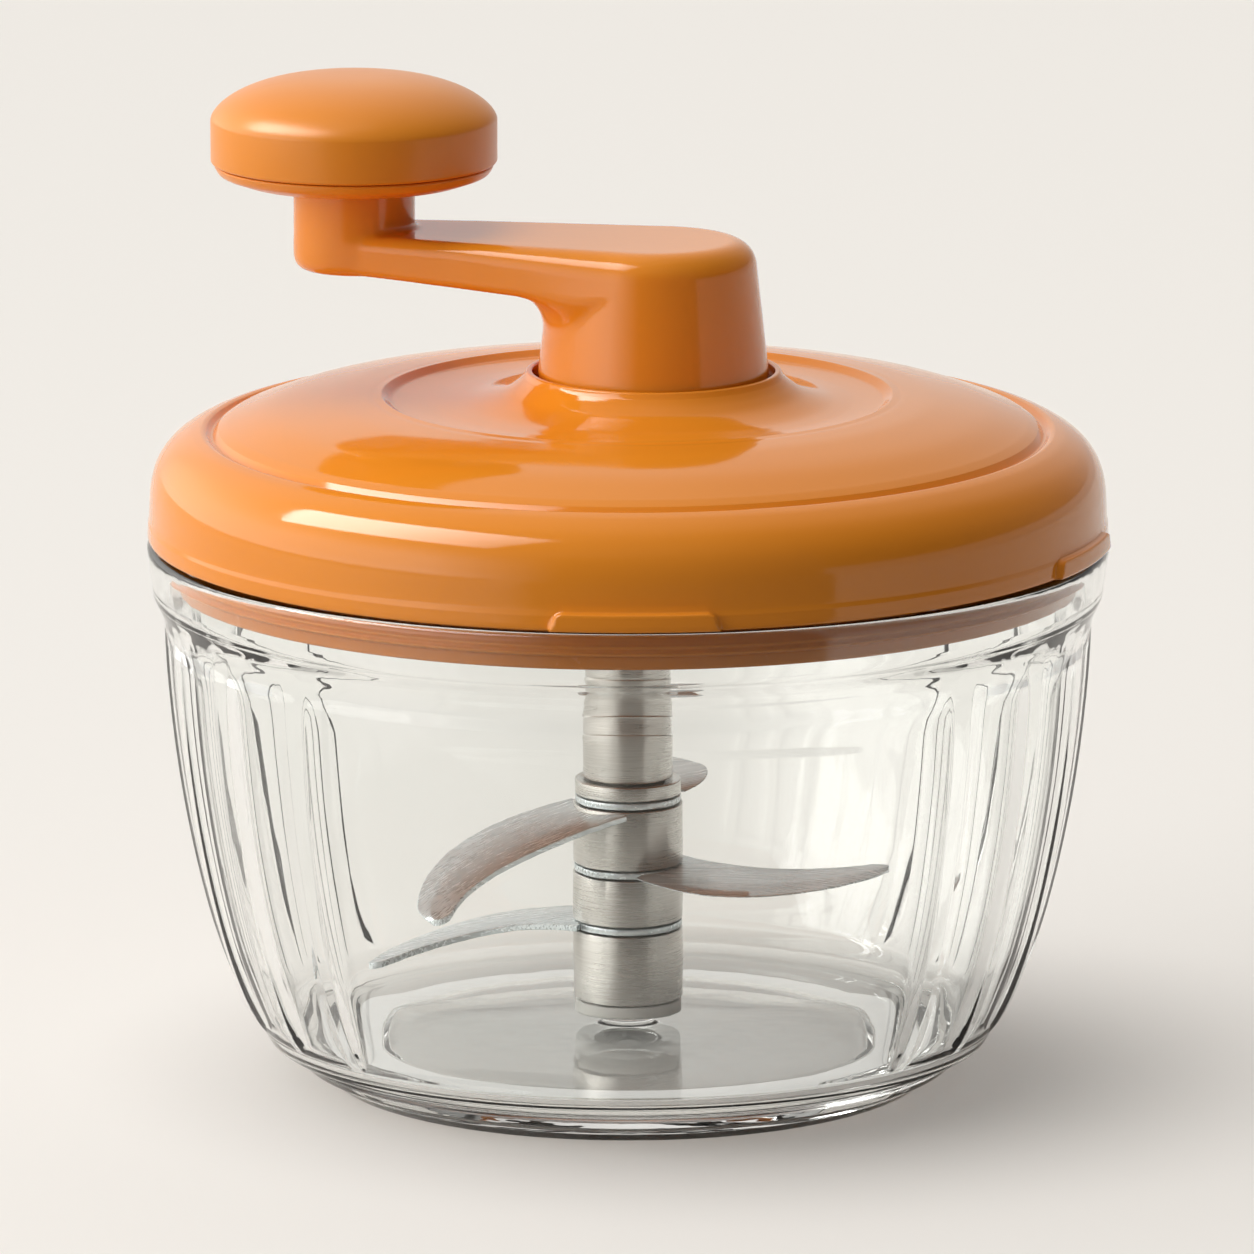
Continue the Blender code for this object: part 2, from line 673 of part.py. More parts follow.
def tooth_outline(teeth, inner, outer, thickness, centre_angle, flank_steps=2):
    """Counterclockwise outline whose lobes, of the given pitch thickness, run from inner to outer.

    The lobes are the teeth of a gear, or the spaces of a ring. centre_angle is a lobe's middle.
    """
    pitch = teeth * MODULE / 2
    pressure = math.radians(PRESSURE_DEG)
    base = pitch * math.cos(pressure)
    half_at_pitch = thickness / (2 * pitch)

    def half(radius):
        here = math.acos(min(1.0, base / max(radius, base)))
        return half_at_pitch + involute(pressure) - involute(here)

    flank = []
    for i in range(flank_steps + 1):
        radius = inner + (outer - inner) * i / flank_steps
        flank.append((radius, half(radius)))
    points = []
    for tooth in range(teeth):
        middle = centre_angle + 2 * math.pi * tooth / teeth
        for radius, spread in flank:
            points.append((radius, middle - spread))
        for radius, spread in reversed(flank):
            points.append((radius, middle + spread))
    return [(radius * math.cos(a), radius * math.sin(a)) for radius, a in points]


ADDENDUM = 0.80 * MODULE
DEDENDUM = 0.97 * MODULE
TOOTH = math.pi * MODULE / 2 - BACKLASH / 2
RING_SPACE_ANGLE = 0.0
crank_pivot = pivot("crank_pivot", hub_at, parent=lid_lift)
ring_cavity = tooth_outline(
    RING_TEETH,
    RING_PITCH - ADDENDUM,
    RING_PITCH + DEDENDUM,
    math.pi * MODULE / 2 + BACKLASH / 2,
    RING_SPACE_ANGLE,
    1,
)
ring_points = [
    (0.0, DISC_TOP_Z),
    (RING_OUTER, DISC_TOP_Z),
    (RING_OUTER, GEAR_Z - SEAT_GAP),
    (0.0, GEAR_Z - SEAT_GAP),
]
ring_gear = turned("ring_gear", ring_points, acetal("ring_acetal"), HUB_STEPS, parent=crank_pivot)
boolean(
    ring_gear,
    tool("ring_teeth", prism_mesh("ring_teeth", ring_cavity, GEAR_Z - 0.002, DISC_Z), at=hub_at),
)
DRIVE_HEAD_Z = DISC_Z + SEAT_GAP
for side, across in (("left", -DRIVE_SCREW_CIRCLE), ("right", DRIVE_SCREW_CIRCLE)):
    world = (HUB_OFFSET + across, 0.0, 0.0)
    sink = post_mesh(
        f"screw_sink_{side}",
        SCREW_HEAD_RADIUS + SEAT_GAP,
        DISC_Z - 0.001,
        DRIVE_HEAD_Z + SCREW_HEAD_HEIGHT + SEAT_GAP,
        SMALL_STEPS,
    )
    boolean(ring_gear, tool(f"screw_sink_{side}", sink, at=world))
    through = post_mesh(
        f"screw_way_{side}", SCREW_RADIUS + SEAT_GAP, DISC_Z, DISC_TOP_Z + 0.001, SMALL_STEPS
    )
    boolean(ring_gear, tool(f"screw_way_{side}", through, at=world))

idler_spin = {}
for side, spot in IDLER_PLACES.items():
    from_ring = math.atan2(spot[1], spot[0] - HUB_OFFSET)
    from_sun = math.atan2(spot[1], spot[0])
    past_space = (from_ring - RING_SPACE_ANGLE) * RING_TEETH / (2 * math.pi)
    tooth_angle = from_ring - past_space * 2 * math.pi / IDLER_TEETH
    past_tooth = (from_sun + math.pi - tooth_angle) * IDLER_TEETH / (2 * math.pi)
    sun_space_angle = from_sun + past_tooth * 2 * math.pi / SUN_TEETH
    idler_spin[side] = pivot(f"idler_pivot_{side}", spot, parent=lid_lift)
    outline = tooth_outline(
        IDLER_TEETH, IDLER_PITCH - DEDENDUM, IDLER_PITCH + ADDENDUM, TOOTH, tooth_angle
    )
    idler = place(
        f"idler_gear_{side}",
        prism_mesh(f"idler_gear_{side}", outline, GEAR_Z, GEAR_TOP_Z),
        acetal(f"idler_acetal_{side}"),
        parent=idler_spin[side],
    )
    sleeve = post_mesh(
        f"idler_sleeve_{side}",
        IDLER_PIN_RADIUS + RUNNING_GAP + 0.0012,
        PLATE_TOP_Z + SEAT_GAP,
        DISC_Z - SEAT_GAP,
        SMALL_STEPS,
    )
    boolean(idler, tool(f"idler_sleeve_{side}", sleeve, at=spot), "UNION")
    bore = post_mesh(
        f"idler_bore_{side}",
        IDLER_PIN_RADIUS + RUNNING_GAP,
        PLATE_TOP_Z - 0.001,
        DISC_Z + 0.001,
        SMALL_STEPS,
    )
    boolean(idler, tool(f"idler_bore_{side}", bore, at=spot))

SUN_ANGLE = sun_space_angle + math.pi / SUN_TEETH
SPINDLE_Z = PLUG_Z + SEAT_GAP / 2
spindle_pivot = pivot("spindle_pivot", (0.0, 0.0, 0.0), parent=lid_lift)
sun_outline = tooth_outline(SUN_TEETH, SUN_PITCH - DEDENDUM, SUN_PITCH + ADDENDUM, TOOTH, SUN_ANGLE)
drive_spindle = place(
    "drive_spindle",
    prism_mesh("drive_spindle", sun_outline, GEAR_Z, GEAR_TOP_Z),
    acetal("spindle_acetal"),
    parent=spindle_pivot,
)
neck = post_mesh("neck", SUN_PITCH - DEDENDUM - 0.0001, SPINDLE_Z + 0.001, GEAR_Z + 0.001, FINE_STEPS)
boolean(drive_spindle, tool("neck", neck), "UNION")
journal = post_mesh("journal", JOURNAL_RADIUS, SPINDLE_Z, GEAR_Z - SEAT_GAP, FINE_STEPS)
boolean(drive_spindle, tool("journal", journal), "UNION")
HEX_TURN = math.radians(30.0)


def hexagon(flat):
    corner = flat / math.cos(math.pi / 6)
    turns = [HEX_TURN + math.pi * i / 3 for i in range(6)]
    return [(corner * math.cos(a), corner * math.sin(a)) for a in turns]


socket = prism_mesh(
    "socket",
    hexagon(HEX_FLAT + RUNNING_GAP),
    SPINDLE_Z - 0.001,
    TUBE_TOP_Z + HEX_LENGTH + 0.0020,
)
boolean(drive_spindle, tool("socket", socket))

# Crank: hub, flat-topped tapering arm and round stem, moulded in one piece.
hub_points = [(0.0, CRANK_TOP_Z), (HUB_TOP_RADIUS - HUB_EDGE, CRANK_TOP_Z)]
hub_points += arc(
    (HUB_TOP_RADIUS - HUB_EDGE, CRANK_TOP_Z - HUB_EDGE), HUB_EDGE, 68.0, 6.0, 3
)
hub_points += [
    (HUB_RADIUS, LIP_Z),
    (HUB_RADIUS, HUB_Z),
    (0.0, HUB_Z),
]
crank_arm = turned("crank_arm", hub_points, orange("crank_orange"), HUB_STEPS, parent=crank_pivot)


def teardrop(near, far, throw, steps):
    """Counterclockwise outline round a circle at the origin and a smaller one at +X."""
    lean = math.acos((near - far) / throw)
    points = []
    for i in range(steps + 1):
        a = -lean + 2 * lean * i / steps
        points.append((throw + far * math.cos(a), far * math.sin(a)))
    for i in range(steps + 1):
        a = lean + 2 * (math.pi - lean) * i / steps
        points.append((near * math.cos(a), near * math.sin(a)))
    return points


ARM_LOW_Z = CRANK_TOP_Z - ARM_THICKNESS
arm_mesh = prism_mesh(
    "arm",
    teardrop(HUB_TOP_RADIUS - 0.0003, STEM_RADIUS - 0.0002, CRANK_THROW, 14),
    ARM_LOW_Z - ARM_FILLET - 0.004,
    CRANK_TOP_Z,
)
arm = tool("arm", arm_mesh, at=hub_at, turn=ARM_AIM)
edge = arm.modifiers.new("Rounded top edge", "BEVEL")
edge.width = ARM_EDGE
edge.segments = 3
edge.limit_method = "WEIGHT"
weights = arm_mesh.attributes.new("bevel_weight_edge", "FLOAT", "EDGE")
for item in arm_mesh.edges:
    ends = [arm_mesh.vertices[i].co for i in item.vertices]
    if all(abs(v.z - CRANK_TOP_Z) < 1e-6 for v in ends):
        weights.data[item.index].value = 1.0
HUB_SIDE = HUB_RADIUS - (HUB_RADIUS - HUB_TOP_RADIUS) * 0.4
UNDER_REACH = CRANK_THROW + 3 * STEM_RADIUS
under = [(UNDER_REACH, ARM_LOW_Z + 0.0002), (CRANK_THROW * 0.67, ARM_LOW_Z - 0.0003)]
under += [(HUB_SIDE + ARM_FILLET * 1.5, ARM_LOW_Z - 0.0009)]
for i in range(5):
    a = math.radians(90.0 * i / 4)
    under.append(
        (
            HUB_SIDE + ARM_FILLET * 0.75 * (1 - math.sin(a)),
            ARM_LOW_Z - 0.0012 - ARM_FILLET * (1 - math.cos(a)),
        )
    )
UNDER_LOW_Z = ARM_LOW_Z - ARM_FILLET - 0.006
under += [(HUB_SIDE, UNDER_LOW_Z), (UNDER_REACH, UNDER_LOW_Z)]
boolean(
    arm, turned_tool("under_arm", list(reversed(under)), HUB_STEPS, closed=True, at=hub_at)
)
boolean(crank_arm, arm, "UNION")
KNOB_AT = (
    HUB_OFFSET + CRANK_THROW * math.cos(ARM_AIM),
    CRANK_THROW * math.sin(ARM_AIM),
    0.0,
)
STEM_EDGE = 0.0022
stem_points = [(0.0, STEM_TOP_Z), (STEM_RADIUS - 0.0004, STEM_TOP_Z), (STEM_RADIUS, STEM_TOP_Z - 0.0004)]
stem_points += arc((STEM_RADIUS - STEM_EDGE, ARM_LOW_Z + STEM_EDGE), STEM_EDGE, 0.0, -90.0, 3)
stem_points += [(0.0, ARM_LOW_Z)]
boolean(crank_arm, turned_tool("stem", stem_points, FINE_STEPS, at=KNOB_AT), "UNION")
axle_hole = post_mesh(
    "axle_hole",
    AXLE_RADIUS + SEAT_GAP,
    STEM_TOP_Z - AXLE_DEPTH - SEAT_GAP,
    STEM_TOP_Z + 0.001,
    SMALL_STEPS,
)
boolean(crank_arm, tool("axle_hole", axle_hole, at=KNOB_AT))
DRIVE_TIP_Z = DRIVE_HEAD_Z + SCREW_HEAD_HEIGHT + SCREW_LENGTH
for side, across in (("left", -DRIVE_SCREW_CIRCLE), ("right", DRIVE_SCREW_CIRCLE)):
    hole = post_mesh(
        f"pilot_{side}", SCREW_RADIUS + SEAT_GAP, HUB_Z - 0.001, DRIVE_TIP_Z + SEAT_GAP, SMALL_STEPS
    )
    boolean(crank_arm, tool(f"pilot_{side}", hole, at=(HUB_OFFSET + across, 0.0, 0.0)))
    turned(
        f"drive_screw_{side}",
        screw_points(DRIVE_HEAD_Z, DRIVE_TIP_Z),
        steel(f"drive_steel_{side}"),
        SMALL_STEPS,
        parent=crank_pivot,
        at=(across, 0.0, 0.0),
    )
core_hole = post_mesh("hub_core", DRIVE_SCREW_CIRCLE * 0.55, HUB_Z - 0.001, ARM_LOW_Z, FINE_STEPS)
boolean(crank_arm, tool("hub_core", core_hole, at=hub_at))

# Knob: a cap snapped over a base, turning freely on a shouldered axle in the stem.
knob_local = (KNOB_AT[0] - HUB_OFFSET, KNOB_AT[1], 0.0)
knob_pivot = pivot("knob_pivot", knob_local, parent=crank_pivot)
SLEEVE_TOP_Z = KNOB_Z + KNOB_BASE_HEIGHT + AXLE_GRIP
axle_points = [
    (0.0, SLEEVE_TOP_Z + SEAT_GAP + AXLE_HEAD_HEIGHT),
    (AXLE_HEAD_RADIUS * 0.7, SLEEVE_TOP_Z + SEAT_GAP + AXLE_HEAD_HEIGHT * 0.8),
    (AXLE_HEAD_RADIUS, SLEEVE_TOP_Z + SEAT_GAP + AXLE_HEAD_HEIGHT * 0.3),
    (AXLE_HEAD_RADIUS, SLEEVE_TOP_Z + SEAT_GAP),
    (AXLE_RADIUS, SLEEVE_TOP_Z + SEAT_GAP),
    (AXLE_RADIUS, STEM_TOP_Z - AXLE_DEPTH),
    (0.0, STEM_TOP_Z - AXLE_DEPTH),
]
turned(
    "knob_axle", axle_points, steel("axle_steel"), SMALL_STEPS, parent=crank_pivot, at=knob_local
)
base_top = KNOB_Z + KNOB_BASE_HEIGHT
base_points = [
    (AXLE_RADIUS + RUNNING_GAP, SLEEVE_TOP_Z),
    (AXLE_RADIUS + 0.0030, SLEEVE_TOP_Z),
    (AXLE_RADIUS + 0.0034, base_top),
    (KNOB_RADIUS - 0.0004, base_top),
    (KNOB_RADIUS - 0.0016, KNOB_Z + KNOB_BASE_HEIGHT * 0.40),
    (KNOB_RADIUS - 0.0044, KNOB_Z),
    (AXLE_RADIUS + RUNNING_GAP, KNOB_Z),
]
turned(
    "knob_base", base_points, orange("knob_base_orange"), FINE_STEPS, closed=True, parent=knob_pivot
)
cap_low = base_top + SEAT_GAP
KNOB_TOP_Z = KNOB_Z + KNOB_HEIGHT
KNOB_EDGE_Z = KNOB_TOP_Z - KNOB_EDGE
cap_points = []
for i in range(7):
    a = math.radians(90.0 * i / 6)
    reach = math.sin(a) ** 0.62 if i else 0.0
    cap_points.append(
        (KNOB_RADIUS * reach, KNOB_EDGE_Z + KNOB_EDGE * max(0.0, 1 - reach**2.6) ** 0.62)
    )
cap_points += [
    (KNOB_RADIUS, cap_low + 0.0004),
    (KNOB_RADIUS - 0.0004, cap_low),
    (KNOB_RADIUS - KNOB_WALL, cap_low),
    (KNOB_RADIUS - KNOB_WALL, KNOB_EDGE_Z),
    (KNOB_RADIUS * 0.72, KNOB_TOP_Z - KNOB_WALL - 0.0022),
    (0.0, KNOB_TOP_Z - KNOB_WALL - 0.0008),
]
turned("knob_cap", cap_points, orange("knob_orange"), FINE_STEPS, parent=knob_pivot)

# Rotor: a plastic core with the drive peg, threaded through steel sleeves and three blades.
rotor_pivot = pivot("rotor_pivot", (0.0, 0.0, 0.0))
core_points = [
    (0.0, PIVOT_TOP_Z + RUNNING_GAP),
    (PIVOT_RADIUS + RUNNING_GAP, PIVOT_TOP_Z + RUNNING_GAP),
    (PIVOT_RADIUS + RUNNING_GAP, ROTOR_Z),
    (ROTOR_RADIUS - 0.0008, ROTOR_Z),
    (ROTOR_RADIUS - 0.0002, ROTOR_Z + 0.0008),
    (ROTOR_RADIUS - 0.0002, ROTOR_Z + FOOT_FLANGE),
    (CORE_RADIUS, ROTOR_Z + FOOT_FLANGE),
    (CORE_RADIUS, TUBE_TOP_Z - SEAT_GAP),
    (0.0, TUBE_TOP_Z - SEAT_GAP),
]
rotor_core = turned(
    "rotor_core", list(reversed(core_points)), acetal("core_acetal"), FINE_STEPS, parent=rotor_pivot
)
peg = prism_mesh("peg", hexagon(HEX_FLAT), TUBE_TOP_Z - 0.002, TUBE_TOP_Z + HEX_LENGTH)
boolean(rotor_core, tool("peg", peg), "UNION")


def sleeve(name, outer, low, high):
    return turned(
        name,
        tube_points(STACK_BORE, outer, low, high),
        steel(f"{name}_steel"),
        FINE_STEPS,
        closed=True,
        parent=rotor_pivot,
    )


sleeve("hub_lower", ROTOR_RADIUS, ROTOR_Z + FOOT_FLANGE + SEAT_GAP, LOWER_BLADE_HEIGHT - SEAT_GAP)
sleeve(
    "hub_middle",
    ROTOR_RADIUS,
    LOWER_BLADE_HEIGHT + BLADE_THICKNESS + SEAT_GAP,
    MIDDLE_BLADE_HEIGHT - SEAT_GAP,
)
sleeve(
    "hub_upper",
    ROTOR_RADIUS,
    MIDDLE_BLADE_HEIGHT + BLADE_THICKNESS + SEAT_GAP,
    UPPER_BLADE_HEIGHT - SEAT_GAP,
)
collar_low = UPPER_BLADE_HEIGHT + BLADE_THICKNESS + SEAT_GAP
sleeve("hub_collar", COLLAR_RADIUS, collar_low, collar_low + COLLAR_HEIGHT)
tube_low = collar_low + COLLAR_HEIGHT + SEAT_GAP
tube_section = [
    (TUBE_RADIUS - TUBE_NECK, TUBE_TOP_Z),
    (TUBE_RADIUS - TUBE_NECK, TUBE_NECK_HEIGHT + 0.0010),
    (TUBE_RADIUS - 2 * TUBE_NECK, TUBE_NECK_HEIGHT + 0.0003),
    (TUBE_RADIUS, TUBE_NECK_HEIGHT - 0.0010),
    (TUBE_RADIUS, tube_low),
    (STACK_BORE, tube_low),
    (STACK_BORE, TUBE_TOP_Z),
]
turned(
    "shaft_tube", tube_section, steel("tube_steel"), FINE_STEPS, closed=True, parent=rotor_pivot
)


# Blades: stamped crescents, ground to an edge on the convex side, each on a ring round the core.
def bezier(points, t):
    (ax, ay), (bx, by), (cx, cy) = points
    u = 1 - t
    return (u * u * ax + 2 * u * t * bx + t * t * cx, u * u * ay + 2 * u * t * by + t * t * cy)


FLAT_SHARE = 0.12  # this much of a wing, next to the hub, stays level
TIP_SHARE = 0.988  # reach of the back's end, against the edge's
TIP_DEG = 3.0  # and how far it stands behind the edge's
WING_STEPS = 8


def wing_mesh(name, edge_line, back_line, low, drop, twist, turn_deg=0.0):
    """A wing lofted between its ground edge and its back, both in plan, in metres.

    It leaves the ring level, then drops by drop, with its edge lifted by twist over its middle.
    """
    bm = bmesh.new()
    middle_z = low + BLADE_THICKNESS / 2
    half = BLADE_THICKNESS / 2
    turn = Matrix.Rotation(math.radians(turn_deg), 3, "Z")
    rows = []
    for i in range(WING_STEPS + 1):
        t = i / WING_STEPS
        rise = max(0.0, (t - FLAT_SHARE) / (1 - FLAT_SHARE))
        lift = twist * min(1.0, rise / 0.3) * (1 - rise) ** 0.7
        front = bezier(edge_line, t)
        back = bezier(back_line, t)
        row = []
        for share, thick in ((0.0, half), (0.6, half), (1.0, BLADE_EDGE / 2)):
            x = back[0] + (front[0] - back[0]) * share
            y = back[1] + (front[1] - back[1]) * share
            z = middle_z - drop * rise**1.1 + lift * (2 * share - 1)
            row.append((x, y, z, thick))
        above = [Vector((x, y, z + thick)) for x, y, z, thick in row]
        below = [Vector((x, y, z - thick)) for x, y, z, thick in reversed(row)]
        rows.append([bm.verts.new(turn @ corner) for corner in above + below])
    for this, following in zip(rows, rows[1:]):
        for i in range(6):
            bm.faces.new((this[i - 1], this[i], following[i], following[i - 1]))
    bm.faces.new(rows[0])
    bm.faces.new(rows[-1])
    bmesh.ops.recalc_face_normals(bm, faces=bm.faces)
    mesh = bpy.data.meshes.new(name)
    bm.to_mesh(mesh)
    bm.free()
    return mesh


def blade(name, low, wings):
    disc = post_mesh(name, COLLAR_RADIUS - 0.0002, low, low + BLADE_THICKNESS, FINE_STEPS)
    made = place(name, disc, steel(f"{name}_steel", 0.26), parent=rotor_pivot)
    for number, (edge_line, back_line, drop, twist, turn_deg) in enumerate(wings, 1):
        shape = wing_mesh(f"{name}_wing_{number}", edge_line, back_line, low, drop, twist, turn_deg)
        boolean(made, tool(f"{name}_wing_{number}", shape), "UNION")
    bore = post_mesh(f"{name}_bore", STACK_BORE, low - 0.004, low + 0.005, FINE_STEPS)
    boolean(made, tool(f"{name}_bore", bore))
    return made


def around(radius, degrees):
    a = math.radians(degrees)
    return (radius * math.cos(a), radius * math.sin(a))


def wing_lines(reach, edge_root, back_root, bulge, hollow, tip):
    """The ground edge and the back of a wing, swept from the hub to a tip at the given angle.

    bulge and hollow, as (share of the reach, angle), draw the two lines sideways.
    """
    edge_line = (
        around(ROTOR_RADIUS, edge_root), around(reach * bulge[0], bulge[1]), around(reach, tip)
    )
    back_line = (
        around(ROTOR_RADIUS, back_root),
        around(reach * hollow[0], hollow[1]),
        around(reach * TIP_SHARE, tip + TIP_DEG),
    )
    return edge_line, back_line


long_wing = wing_lines(LONG_REACH, 149.0, 257.0, (0.693, 172.0), (0.517, 208.0), 225.2)
rear_wing = wing_lines(REAR_REACH, 21.0, 131.0, (0.741, 45.0), (0.582, 82.0), 93.0)
side_wing = wing_lines(SIDE_REACH, -86.5, 28.0, (0.784, -36.0), (0.579, -22.0), -3.1)
blade(
    "blade_upper",
    UPPER_BLADE_HEIGHT,
    ((*long_wing, LONG_DROP, LONG_TWIST, 0.0), (*rear_wing, 0.0, REAR_TWIST, 0.0)),
)
blade("blade_middle", MIDDLE_BLADE_HEIGHT, ((*side_wing, 0.0, -SIDE_TWIST, 0.0),))
blade("blade_lower", LOWER_BLADE_HEIGHT, ((*side_wing, LOWER_DROP, -SIDE_TWIST, 188.0),))
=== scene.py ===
import math

import bmesh
import bpy
import numpy as np
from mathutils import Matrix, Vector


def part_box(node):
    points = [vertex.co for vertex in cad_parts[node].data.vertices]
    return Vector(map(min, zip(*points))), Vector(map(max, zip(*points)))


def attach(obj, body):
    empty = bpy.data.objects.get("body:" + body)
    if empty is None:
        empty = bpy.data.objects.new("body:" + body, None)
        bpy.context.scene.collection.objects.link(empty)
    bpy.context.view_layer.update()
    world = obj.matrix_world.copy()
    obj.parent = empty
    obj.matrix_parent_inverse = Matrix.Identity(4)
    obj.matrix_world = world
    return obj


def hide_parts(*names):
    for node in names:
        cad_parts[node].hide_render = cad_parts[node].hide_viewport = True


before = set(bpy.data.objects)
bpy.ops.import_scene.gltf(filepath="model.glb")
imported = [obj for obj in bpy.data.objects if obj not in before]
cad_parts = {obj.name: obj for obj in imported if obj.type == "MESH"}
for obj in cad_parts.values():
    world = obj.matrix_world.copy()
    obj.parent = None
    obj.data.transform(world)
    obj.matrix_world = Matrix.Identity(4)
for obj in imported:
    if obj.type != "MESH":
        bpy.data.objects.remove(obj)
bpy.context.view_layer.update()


# Glass bowl: pressed in one piece from clear soda-lime glass, with a thick foot, a rolled bead and
# a moulded pivot for the rotor. Panels pressed into the outside leave ribs on both sides and a plain
# window in front and at the back.
def rounded(corners, steps=5):
    """The outline through (radius, height, rounding) corners, with each corner turned by an arc."""
    out = []
    for i, (x, z, bend) in enumerate(corners):
        if not bend or i in (0, len(corners) - 1):
            out.append((x, z))
            continue
        here = np.array((x, z))
        back = np.array(corners[i - 1][:2]) - here
        ahead = np.array(corners[i + 1][:2]) - here
        back /= np.linalg.norm(back)
        ahead /= np.linalg.norm(ahead)
        half = math.acos(max(-1.0, min(1.0, float(back @ ahead)))) / 2
        middle = back + ahead
        centre = here + middle / np.linalg.norm(middle) * bend / math.sin(half)
        first = here + back * bend / math.tan(half) - centre
        last = here + ahead * bend / math.tan(half) - centre
        sweep = math.pi - 2 * half
        for k in range(steps + 1):
            t = k / steps
            point = (math.sin((1 - t) * sweep) * first + math.sin(t * sweep) * last) / math.sin(sweep)
            out.append(tuple(centre + point))
    return out


def flowing(points, steps):
    """A smooth curve through the given points, with steps stretches between two of them."""
    knots = [np.array(p, float) for p in (points[0], *points, points[-1])]
    out = []
    for a, b, c, d in zip(knots, knots[1:], knots[2:], knots[3:]):
        for k in range(steps):
            t = k / steps
            curve = 2 * b + (c - a) * t + (2 * a - 5 * b + 4 * c - d) * t**2
            out.append(tuple(0.5 * (curve + (3 * b - a - 3 * c + d) * t**3)))
    out.append(tuple(knots[-1]))
    return out


def level_ring(reach, angles, z, at=(0.0, 0.0)):
    """Points at one height round a centre, each as far from it as reach says."""
    return np.stack(
        [at[0] + reach * np.cos(angles), at[1] + reach * np.sin(angles), np.full(len(angles), z)], 1
    )


def skin(name, rows, closed, ends_filled=False):
    """A mesh through rings of points, closed on itself, ending on the axis or with its ends filled."""
    rows = np.array(rows, float)
    count, around = rows.shape[:2]
    at = np.arange(count * around).reshape(count, around)
    here = at if closed else at[:-1]
    above = np.roll(at, -1, axis=0) if closed else at[1:]
    faces = np.stack([here, np.roll(here, -1, 1), np.roll(above, -1, 1), above], -1)
    mesh = bpy.data.meshes.new(name)
    mesh.from_pydata(rows.reshape(-1, 3).tolist(), [], faces.reshape(-1, 4).tolist())
    bm = bmesh.new()
    bm.from_mesh(mesh)
    bmesh.ops.remove_doubles(bm, verts=bm.verts, dist=1e-7)
    if ends_filled:
        bmesh.ops.holes_fill(bm, edges=[e for e in bm.edges if e.is_boundary], sides=0)
    bmesh.ops.recalc_face_normals(bm, faces=bm.faces)
    bm.to_mesh(mesh)
    bm.free()
    mesh.polygons.foreach_set("use_smooth", [True] * len(mesh.polygons))
    return mesh


def linked(name, data):
    """A new object in the scene."""
    made = bpy.data.objects.new(name, data)
    bpy.context.scene.collection.objects.link(made)
    return made


def show(name, mesh, material, body, nodes):
    """Puts a piece, with its material, on its CAD body, in place of the nodes that it stands for."""
    made = linked(name, mesh)
    mesh.materials.clear()
    mesh.materials.append(material)
    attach(made, body)
    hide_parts(*nodes)


bowl_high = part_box("glass_bowl")[1]
bowl_height = bowl_high.z
rim_radius = bowl_high.x
bead_drop = 0.0055
wall_top_z = bowl_height - bead_drop - 0.008
ledge_radius = 0.0580
ledge_z = 0.0090
foot_radius = 0.0475
floor_z = 0.0065
mouth_radius = rim_radius - 0.0034
glass_wall = 0.0032
step_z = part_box("gear_plate")[0].z - 0.0003
inner_top_z = 0.0690
pivot_radius = 0.0040
pivot_top_z = 0.0197
panel_depth = 0.0009
panel_top_z = wall_top_z + 0.0002
panel_corner = 0.0038
panel_blend = 0.0046
rib_pitch = math.radians(15.0)
ribs_a_side = 7


def wall_radius(z):
    """Outer radius over the ribs, from the ledge up to the cove under the bead."""
    share = min(1.0, max(0.0, (z - ledge_z) / (wall_top_z - ledge_z)))
    low = ledge_radius - 0.0004
    high = rim_radius - 0.0028
    return low + (high - low) * (1 - (1 - share) ** 1.6) ** 0.65


def away(angles, marks):
    """How far each angle is from the nearest of the marks."""
    return np.min([np.abs((angles - mark + math.pi) % (2 * math.pi) - math.pi) for mark in marks], axis=0)


rib_angles = []
for side in (0.0, math.pi):
    for i in range(ribs_a_side):
        rib_angles.append(side + (i - (ribs_a_side - 1) / 2) * rib_pitch)
near_rib = np.radians(np.arange(-3.3, 3.31, 0.275))
turns = {round(a % (2 * math.pi), 6) for rib in rib_angles for a in rib + near_rib}
even_turns = 225
least_gap = math.radians(0.64)
for i in range(even_turns):
    angle = 2 * math.pi * i / even_turns
    if away(angle, rib_angles) > near_rib[-1] + least_gap:
        turns.add(round(angle, 6))
bowl_turns = np.array(sorted(turns))


def pressed(angles, z):
    """How far, from 0 to 1, the outside lies back in a panel at a height."""
    half_rib = 0.0008 + 0.0013 * max(0.0, (z - ledge_z) / (panel_top_z - ledge_z)) ** 0.7
    beside = away(angles, rib_angles) * wall_radius(z) - half_rib
    under = panel_top_z - z
    over = z - ledge_z - 0.0005
    corner = np.hypot(np.maximum(panel_corner - beside, 0.0), max(panel_corner - under, 0.0))
    inside = np.minimum(panel_corner - corner, over)
    share = np.clip(inside / panel_blend, 0.0, 1.0)
    return 1 - (1 - share) ** 2


wall_rows = sorted(
    set(np.round(np.linspace(ledge_z + 0.0004, wall_top_z, 34), 6))
    | set(np.round(np.linspace(ledge_z + 0.0005, ledge_z + 0.0021, 5), 6))
)
outside = rounded([
    (0.0, 0.0008, 0),
    (foot_radius - 0.0095, 0.0008, 0.0004),
    (foot_radius - 0.0085, 0.0, 0.0008),
    (foot_radius - 0.0006, 0.0, 0.0012),
    (foot_radius + 0.0014, 0.0015, 0.0012),
    (foot_radius + 0.0019, 0.0020, 0.0003),
    (foot_radius + 0.0042, 0.0030, 0.0014),
    (foot_radius + 0.0055, 0.0044, 0.0012),
    (foot_radius + 0.0057, 0.0050, 0.0003),
    (ledge_radius - 0.0014, 0.0064, 0.0018),
    (ledge_radius + 0.0002, ledge_z + 0.0002, 0.0012),
    (wall_radius(ledge_z + 0.0004), ledge_z + 0.0004, 0),
])[:-1]
